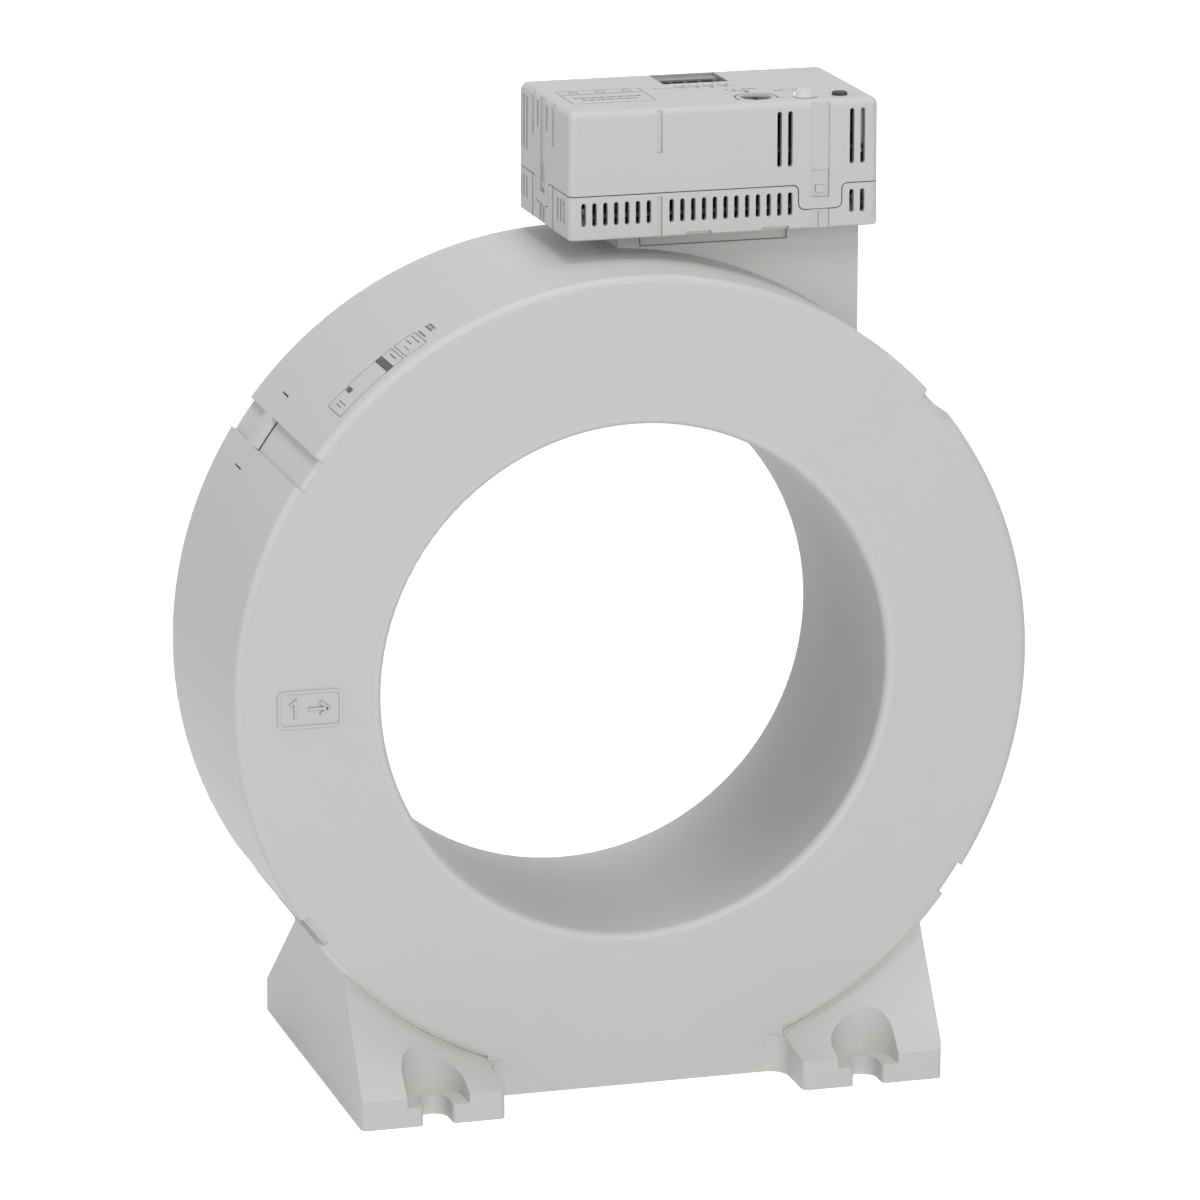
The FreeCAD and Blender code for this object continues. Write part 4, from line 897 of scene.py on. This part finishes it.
def on_cover(points):
    """The cover's top: u is x, v is y and w rises from the top."""
    return points + np.array([0, 0, COVER_TOP])


def on_rim(points):
    """The ring's outer wall.

    u is the arc's length from the top towards the left, v is y and w is away from the axis.
    """
    angle = math.pi / 2 + points[:, 0] / RING_RADIUS
    radius = RING_RADIUS + points[:, 2]
    return np.stack([radius * np.cos(angle), points[:, 1], radius * np.sin(angle)], 1)


# Operators, one for each piece or group of like pieces

def slot_finish(node):
    """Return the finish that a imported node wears."""
    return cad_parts[node].material_slots[0].material


class TOROID_OT_finishes(bpy.types.Operator):
    """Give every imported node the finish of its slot"""

    bl_idname = "toroid.finishes"
    bl_label = "Finish the packed nodes"

    def execute(self, context):
        made = finishes(context.scene.toroid_finish)
        for name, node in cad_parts.items():
            for place in node.material_slots:
                slot = place.material.name.split(".")[0]
                place.material = made["box_housing" if name in BOX_NODES else slot]
        return {"FINISHED"}


class TOROID_OT_cover_printing(bpy.types.Operator):
    """Print the cover's top: empty label boxes, a pole chart, the selector's scale and marks"""

    bl_idname = "toroid.cover_printing"
    bl_label = "Print the cover"

    def execute(self, context):
        sizes = context.scene.toroid_print
        ink = printed(tuple(context.scene.toroid_finish.ink))
        sheet = Drawing(sizes.line, sizes.film)
        fine = sizes.line * 0.75
        digit = sizes.digit / MM
        self.label_boxes(sheet, fine)
        self.pole_chart(sheet, fine, digit)
        self.selector_scale(sheet, sizes.scale_radius / MM, fine, digit)
        self.lamp_row(sheet, fine, digit)
        points, faces = sheet.mapped(on_cover)
        new_piece("cover_printing", points, faces, ink, "housing")
        return {"FINISHED"}

    def label_boxes(self, sheet, fine):
        """The rating plate's place: a box with rows of bars, and a strip with three plain signs."""
        corner, bar = 0.8, 1.7 * MM
        sheet.draw(box_path(*PLATE, corner), fine, closed=True)
        sheet.draw(box_path(*STRIP, corner), fine, closed=True)
        for v, first, last in PLATE_ROWS:
            sheet.several(dashes(first, last, v, (1.2, 0.7, 1.6, 0.5, 0.9), 0.55), bar)
        square = box_path(-6.4, -3.2, 18.2, 21.6, 0.3)
        disc = arc_path(6.4, 19.9, 1.8, 0, 352, 32)
        triangle = [(15.2, 18.3), (18.8, 18.3), (17.0, 21.5)]
        for sign in (square, disc, triangle):
            sheet.draw(sign, fine, closed=True)

    def pole_chart(self, sheet, fine, digit):
        """The poles' chart: a base line, and a cup, a stem and a digit for each pole."""
        start, pitch, low, high = 40.4, 6.1, 19.4, 24.4
        left, stem, half_cup, arrow = 29.6, 1.6, 1.9, (1.2, 0.9)
        sheet.draw([(left, low), (start + 3.7 * pitch, low)], fine)
        sheet.draw([(left - arrow[0], low + arrow[1]), (left, low),
                    (left - arrow[0], low - arrow[1])], fine)
        for index in range(4):
            middle = start + index * pitch
            cup = [(middle - half_cup, high), (middle - half_cup, low + stem),
                   (middle + half_cup, low + stem), (middle + half_cup, high)]
            sheet.draw(rounded(cup, [0, 0.6, 0.6, 0], 4), fine)
            sheet.draw([(middle, low), (middle, low + stem)], fine)
            sheet.draw(digit_path(str(index + 1), middle, low - 2.2, digit), fine)

    def selector_scale(self, sheet, radius, fine, digit):
        """The selector's scale: an arc with end lines, a filled pointer and plain digits."""
        u, v = SELECTOR
        first, last = -24, 204
        upper, lower = v + 18.6, v + 15.4
        bar = 1.2 * MM
        sheet.draw(arc_path(u, v, radius, first, last), 0.8 * MM)
        for degrees, reach in ((first, 3.4), (last, 2.6), (35, 1.2), (145, 1.2)):
            angle = math.radians(degrees)
            way = np.array([math.cos(angle), math.sin(angle)])
            sheet.draw([SELECTOR + way * radius, SELECTOR + way * (radius + reach)])
        sheet.draw([(u, v + radius + 2.6), (u, v + radius + 5.0)], 1.8 * MM)
        sheet.draw(digit_path("3", u - 7.0, upper, digit), fine)
        sheet.draw(digit_path("5", u - 3.6, upper, digit), fine)
        sheet.several(dashes(u - 0.4, u + 5.6, upper, (1.1, 0.7, 1.4), 0.5), bar)
        sheet.several(dashes(u - 6.4, u + 1.6, lower, (0.9, 1.3, 0.6), 0.5), bar)

    def lamp_row(self, sheet, fine, digit):
        """The marks left of the lens, bars round a digit, and the small ring before the button."""
        bar = 1.3 * MM
        sheet.several(dashes(74.6, 79.0, LAMP_ROW, (0.9, 1.3, 0.7), 0.5), bar)
        sheet.draw(digit_path("1", 80.4, LAMP_ROW, digit), fine)
        sheet.several(dashes(81.8, 84.6, LAMP_ROW, (0.9, 0.9), 0.5), bar)
        sheet.draw(arc_path(97.2, 2.2, 0.3, 0, 345, 12), closed=True)


class TOROID_OT_rim_printing(bpy.types.Operator):
    """Print the ring's outer wall: rating boxes with dashes, a filled bar and a small square"""

    bl_idname = "toroid.rim_printing"
    bl_label = "Print the rim"

    def execute(self, context):
        sizes = context.scene.toroid_print
        ink = printed(tuple(context.scene.toroid_finish.ink))
        sheet = Drawing(sizes.line, sizes.film)
        fine = sizes.line * 0.6
        per_degree = math.radians(1) * RING_RADIUS / MM
        near, far = -48.8, -29.4

        def at(angle):
            return (angle - 90) * per_degree

        for first, last in ((120.6, 124.0), (124.5, 127.3), (127.3, 136.2)):
            path = box_path(at(first), at(last), near, far, 0.8)
            sheet.draw(finer(np.vstack([path, path[:1]])), fine)
        sheet.bar(at(126.15), at(127.3), near, far)
        sheet.bar(at(132.2), at(133.0), -37.2, -31.0)
        texts = ((118.3, -40.0, -30.4, 1.1), (118.85, -40.0, -30.4, 1.1),
                 (120.1, -42.0, -31.0, 0.9), (121.3, -44.0, -31.5, 0.5),
                 (122.2, -40.0, -32.0, 0.5), (123.1, -45.0, -36.0, 0.5),
                 (125.2, -43.0, -33.0, 0.6), (134.6, -44.0, -34.0, 0.55),
                 (135.2, -41.0, -34.0, 0.55))
        for angle, low, high, weight in texts:
            for bar in dashes(low, high, 0.0, (0.8, 0.5, 1.1, 0.6), 0.45):
                across = np.stack([np.full(2, at(angle)), bar[:, 0]], 1)
                sheet.draw(across, weight * MM)
        points, faces = sheet.mapped(on_rim)
        new_piece("rim_printing", points, faces, ink, "housing")
        return {"FINISHED"}


class TOROID_OT_front_marking(bpy.types.Operator):
    """Raise a plain digit and an arrow inside the front's frame"""

    bl_idname = "toroid.front_marking"
    bl_label = "Raise the front marking"

    def execute(self, context):
        sizes = context.scene.toroid_print
        height = sizes.relief_digit / MM
        u, v = MARKING[0] / MM, MARKING[1] / MM
        tip, barb = u + 7.9, (3.6, 2.6)
        profile = raised_profile(sizes.relief_width, sizes.relief_width * 0.7, sizes.relief_rise)
        paths = [digit_path("1", u - 6.2, v, height),
                 np.array([(u - 0.4, v), (u + 7.4, v)]),
                 np.array([(tip - barb[0], v + barb[1]), (tip, v), (tip - barb[0], v - barb[1])])]
        points, faces = joined([stroke(path * MM, profile) for path in paths])
        laid = np.stack([points[:, 0], FRONT_FACE - points[:, 2], points[:, 1]], 1)
        new_piece("front_marking", laid, faces, slot_finish("front_shell"), "housing",
                  smooth=60)
        return {"FINISHED"}


class TOROID_OT_lens(bpy.types.Operator):
    """Turn the milky lens with its domed top, flange and hollow skirt"""

    bl_idname = "toroid.lens"
    bl_label = "Turn the lens"

    def execute(self, context):
        sizes = context.scene.toroid_piece
        low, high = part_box("lamp_lens")
        centre = ((low.x + high.x) / 2, (low.y + high.y) / 2, COVER_TOP)
        rise = sizes.dome_rise
        lift = sizes.flange_lift
        lip = lift + sizes.flange_thickness
        foot = sizes.dome_radius
        rim = sizes.flange_radius
        skirt = low.z - COVER_TOP
        wall = 1.2 * MM
        bore = foot - wall
        ceiling = rise - wall
        crown = sizes.crown_radius
        crown_fall, flank_fall = 0.12 * MM, 0.35 * MM
        share = np.linspace(0, 1, 10)
        top = np.stack([share * crown * 0.55, rise - crown_fall * share ** 2], 1)
        corners, radii = zip(
            (top[-1], 0),
            ((crown, rise - flank_fall), 1.1 * MM),
            ((foot, lip), 0.15 * MM),
            ((rim, lip), 0.18 * MM),
            ((rim, lift), 0.1 * MM),
            ((foot, lift), 0),
            ((foot, skirt), 0),
            ((bore, skirt), 0),
            ((bore, lip), 0.3 * MM),
            ((crown - wall * 0.6, ceiling), 0.3 * MM),
            ((0, ceiling), 0))
        profile = np.vstack([top, rounded(corners, radii)[1:]])
        points, faces = turned(profile, centre, sizes.segments)
        lens = new_piece("lens_dome", points, faces, slot_finish("lamp_lens"), "housing")
        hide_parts("lamp_lens")
        return {"FINISHED"}


class TOROID_OT_button(bpy.types.Operator):
    """Turn the test button with its rounded rim, dished top, collar and stem"""

    bl_idname = "toroid.button"
    bl_label = "Turn the test button"

    def execute(self, context):
        sizes = context.scene.toroid_piece
        low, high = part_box("test_button")
        centre = ((low.x + high.x) / 2, (low.y + high.y) / 2, 0)
        radius = 3.1 * MM
        stem = 1.8 * MM
        collar = (high.x - low.x) / 2
        collar_top = COVER_TOP - 2.5 * MM
        collar_foot = collar_top - 1.2 * MM
        flat = radius - sizes.button_rounding
        share = np.linspace(0, 1, 12)
        dish = np.stack([share * flat, high.z - sizes.button_dish * (1 - share ** 2)], 1)
        corners, radii = zip(
            ((flat, high.z), 0),
            ((radius, high.z), sizes.button_rounding * 0.99),
            ((radius, collar_top), 0),
            ((collar, collar_top), 0.1 * MM),
            ((collar, collar_foot), 0.1 * MM),
            ((stem, collar_foot), 0.2 * MM),
            ((stem, low.z), 0.1 * MM),
            ((0, low.z), 0))
        profile = np.vstack([dish, rounded(corners, radii)])
        points, faces = turned(profile, centre, sizes.segments)
        button = new_piece("button_cap", points, faces, slot_finish("test_button"), "test")
        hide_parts("test_button")
        return {"FINISHED"}


class TOROID_OT_bar(bpy.types.Operator):
    """Shape the bar below the box with round corners, broken rims and a gap under it"""

    bl_idname = "toroid.bar"
    bl_label = "Shape the bar"

    def execute(self, context):
        sizes = context.scene.toroid_piece
        low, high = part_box("dock_bar")
        front = low.y + sizes.bar_setback
        corner = 1.2 * MM

        def outline(inset):
            left, right, near = low.x + inset, high.x - inset, front + inset
            return rounded([(left, high.y), (left, near), (right, near), (right, high.y)],
                           [0, corner - inset, corner - inset, 0], 6, closed=True)

        points, faces = rimmed_prism(outline, low.z + sizes.bar_lift, high.z, sizes.bar_rounding)
        bar = new_piece("dock_bar_front", points, faces, slot_finish("dock_bar"), "housing")
        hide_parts("dock_bar")
        return {"FINISHED"}


class TOROID_OT_stage(bpy.types.Operator):
    """Lay the floor, hang the lights and set the camera at the photograph's angle"""

    bl_idname = "toroid.stage"
    bl_label = "Build the studio"

    def execute(self, context):
        sizes = context.scene.toroid_stage
        scene = context.scene
        scene.view_settings.view_transform = "Standard"
        self.floor(scene, sizes.glow)
        self.world(scene, sizes.ambient)
        for name, (place, side) in LIGHTS.items():
            self.lamp(scene, name + "_light", place, side, getattr(sizes, name))
        self.camera(scene, sizes)
        return {"FINISHED"}

    def seen(self, nodes):
        """Return the share of rays that show the background: camera, glossy and see-through."""
        path = nodes.add("ShaderNodeLightPath")
        names = ("Is Camera Ray", "Is Glossy Ray", "Is Transmission Ray")
        camera, glossy, through = [Signal(nodes, path.outputs[name]) for name in names]
        return camera.math("ADD", glossy + through, clamp=True)

    def floor(self, scene, white):
        """A pale floor that keeps the object's shadow and shows white where it is lit."""
        reach, count = 9, 7
        grid = np.linspace(-reach, reach, count)
        u, v = np.meshgrid(grid, grid)
        points = np.stack([u.ravel(), v.ravel(), np.full(u.size, CAD_BOX[0].z)], 1)
        row, column = np.meshgrid(np.arange(count - 1), np.arange(count - 1), indexing="ij")
        corner = (row * count + column).ravel()
        faces = np.stack([corner, corner + 1, corner + count + 1, corner + count], 1).tolist()
        finish = Finish("studio_floor", Roughness=0.9, Specular_IOR_Level=0.1)
        tone = finish.noise(3, 2.0)
        finish.wear(Base_Color=finish.blend(tone, (0.80, 0.80, 0.80), (0.82, 0.82, 0.82)))
        glow = finish.add("ShaderNodeEmission", {}, {"Color": (1, 1, 1),
                                                     "Strength": self.seen(finish) * white})
        both = finish.add("ShaderNodeAddShader", {}, {0: finish.shader.outputs[0],
                                                      1: glow.outputs[0]})
        finish.feed(finish.output.inputs["Surface"], both.outputs[0])
        mesh = bpy.data.meshes.new("floor")
        mesh.from_pydata(points.tolist(), [], faces)
        mesh.materials.append(finish.material)
        ground = bpy.data.objects.new("floor", mesh)
        scene.collection.objects.link(ground)

    def world(self, scene, ambient):
        """A plain world: even light at the ambient strength, seen as white."""
        world = bpy.data.worlds.new("studio")
        world.use_nodes = True
        scene.world = world
        nodes = Nodes(world.node_tree)
        strength = self.seen(nodes) * (1 - ambient) + ambient
        light = nodes.add("ShaderNodeBackground", {}, {"Color": (1, 1, 1), "Strength": strength})
        nodes.add("ShaderNodeOutputWorld", {}, {"Surface": light.outputs[0]})

    def lamp(self, scene, name, place, side, share):
        """A square soft light that gives a surface facing it that share of full light."""
        light = bpy.data.lights.new(name, "AREA")
        light.shape = "SQUARE"
        light.size = side
        light.energy = share * math.pi ** 2 * Vector(place).length_squared
        holder = bpy.data.objects.new(name, light)
        holder.location = place
        holder.rotation_euler = (-Vector(place)).to_track_quat("-Z", "Y").to_euler()
        scene.collection.objects.link(holder)

    def camera(self, scene, sizes):
        """A camera that looks at the window's middle from the photograph's angle."""
        back = Vector((math.sin(sizes.yaw) * math.cos(sizes.pitch),
                       -math.cos(sizes.yaw) * math.cos(sizes.pitch), math.sin(sizes.pitch)))
        level = Vector((math.cos(sizes.yaw), math.sin(sizes.yaw), 0))
        rise = back.cross(level)
        right = level * math.cos(sizes.roll) + rise * math.sin(sizes.roll)
        up = rise * math.cos(sizes.roll) - level * math.sin(sizes.roll)
        place = back * sizes.distance + right * sizes.aim_right + up * sizes.aim_up
        lens = bpy.data.cameras.new("camera")
        lens.sensor_width = 36
        lens.lens = sizes.lens
        lens.clip_end = 50
        holder = bpy.data.objects.new("camera", lens)
        holder.matrix_world = Matrix((
            (right.x, up.x, back.x, place.x),
            (right.y, up.y, back.y, place.y),
            (right.z, up.z, back.z, place.z),
            (0, 0, 0, 1)))
        scene.collection.objects.link(holder)
        scene.camera = holder


class TOROID_PT_panel(bpy.types.Panel):
    """The toroid's sizes and the pieces to build"""

    bl_idname = "TOROID_PT_panel"
    bl_label = "Earth leakage toroid"
    bl_space_type = "VIEW_3D"
    bl_region_type = "UI"
    bl_category = "Toroid"

    def draw(self, context):
        for key in GROUPS:
            group = getattr(context.scene, key)
            box = self.layout.box()
            for name in group.__annotations__:
                box.prop(group, name)
        for operator in OPERATORS:
            self.layout.operator(operator.bl_idname)


GROUPS = {
    "toroid_finish": FinishSettings,
    "toroid_print": PrintSettings,
    "toroid_piece": PieceSettings,
    "toroid_stage": StageSettings,
}
OPERATORS = (TOROID_OT_finishes, TOROID_OT_cover_printing, TOROID_OT_rim_printing,
             TOROID_OT_front_marking, TOROID_OT_lens, TOROID_OT_button, TOROID_OT_bar,
             TOROID_OT_stage)


def register():
    """Register the settings, operators and panel."""
    for name, group in GROUPS.items():
        bpy.utils.register_class(group)
        setattr(bpy.types.Scene, name, PointerProperty(type=group))
    for made in OPERATORS + (TOROID_PT_panel,):
        bpy.utils.register_class(made)


def unregister():
    """Take them back in reverse order."""
    for made in reversed(OPERATORS + (TOROID_PT_panel,)):
        bpy.utils.unregister_class(made)
    for name, group in reversed(GROUPS.items()):
        delattr(bpy.types.Scene, name)
        bpy.utils.unregister_class(group)


def main():
    """Build everything in order."""
    register()
    bpy.ops.toroid.stage()
    bpy.ops.toroid.finishes()
    bpy.ops.toroid.cover_printing()
    bpy.ops.toroid.rim_printing()
    bpy.ops.toroid.front_marking()
    bpy.ops.toroid.lens()
    bpy.ops.toroid.button()
    bpy.ops.toroid.bar()


if __name__ == "__main__":
    main()
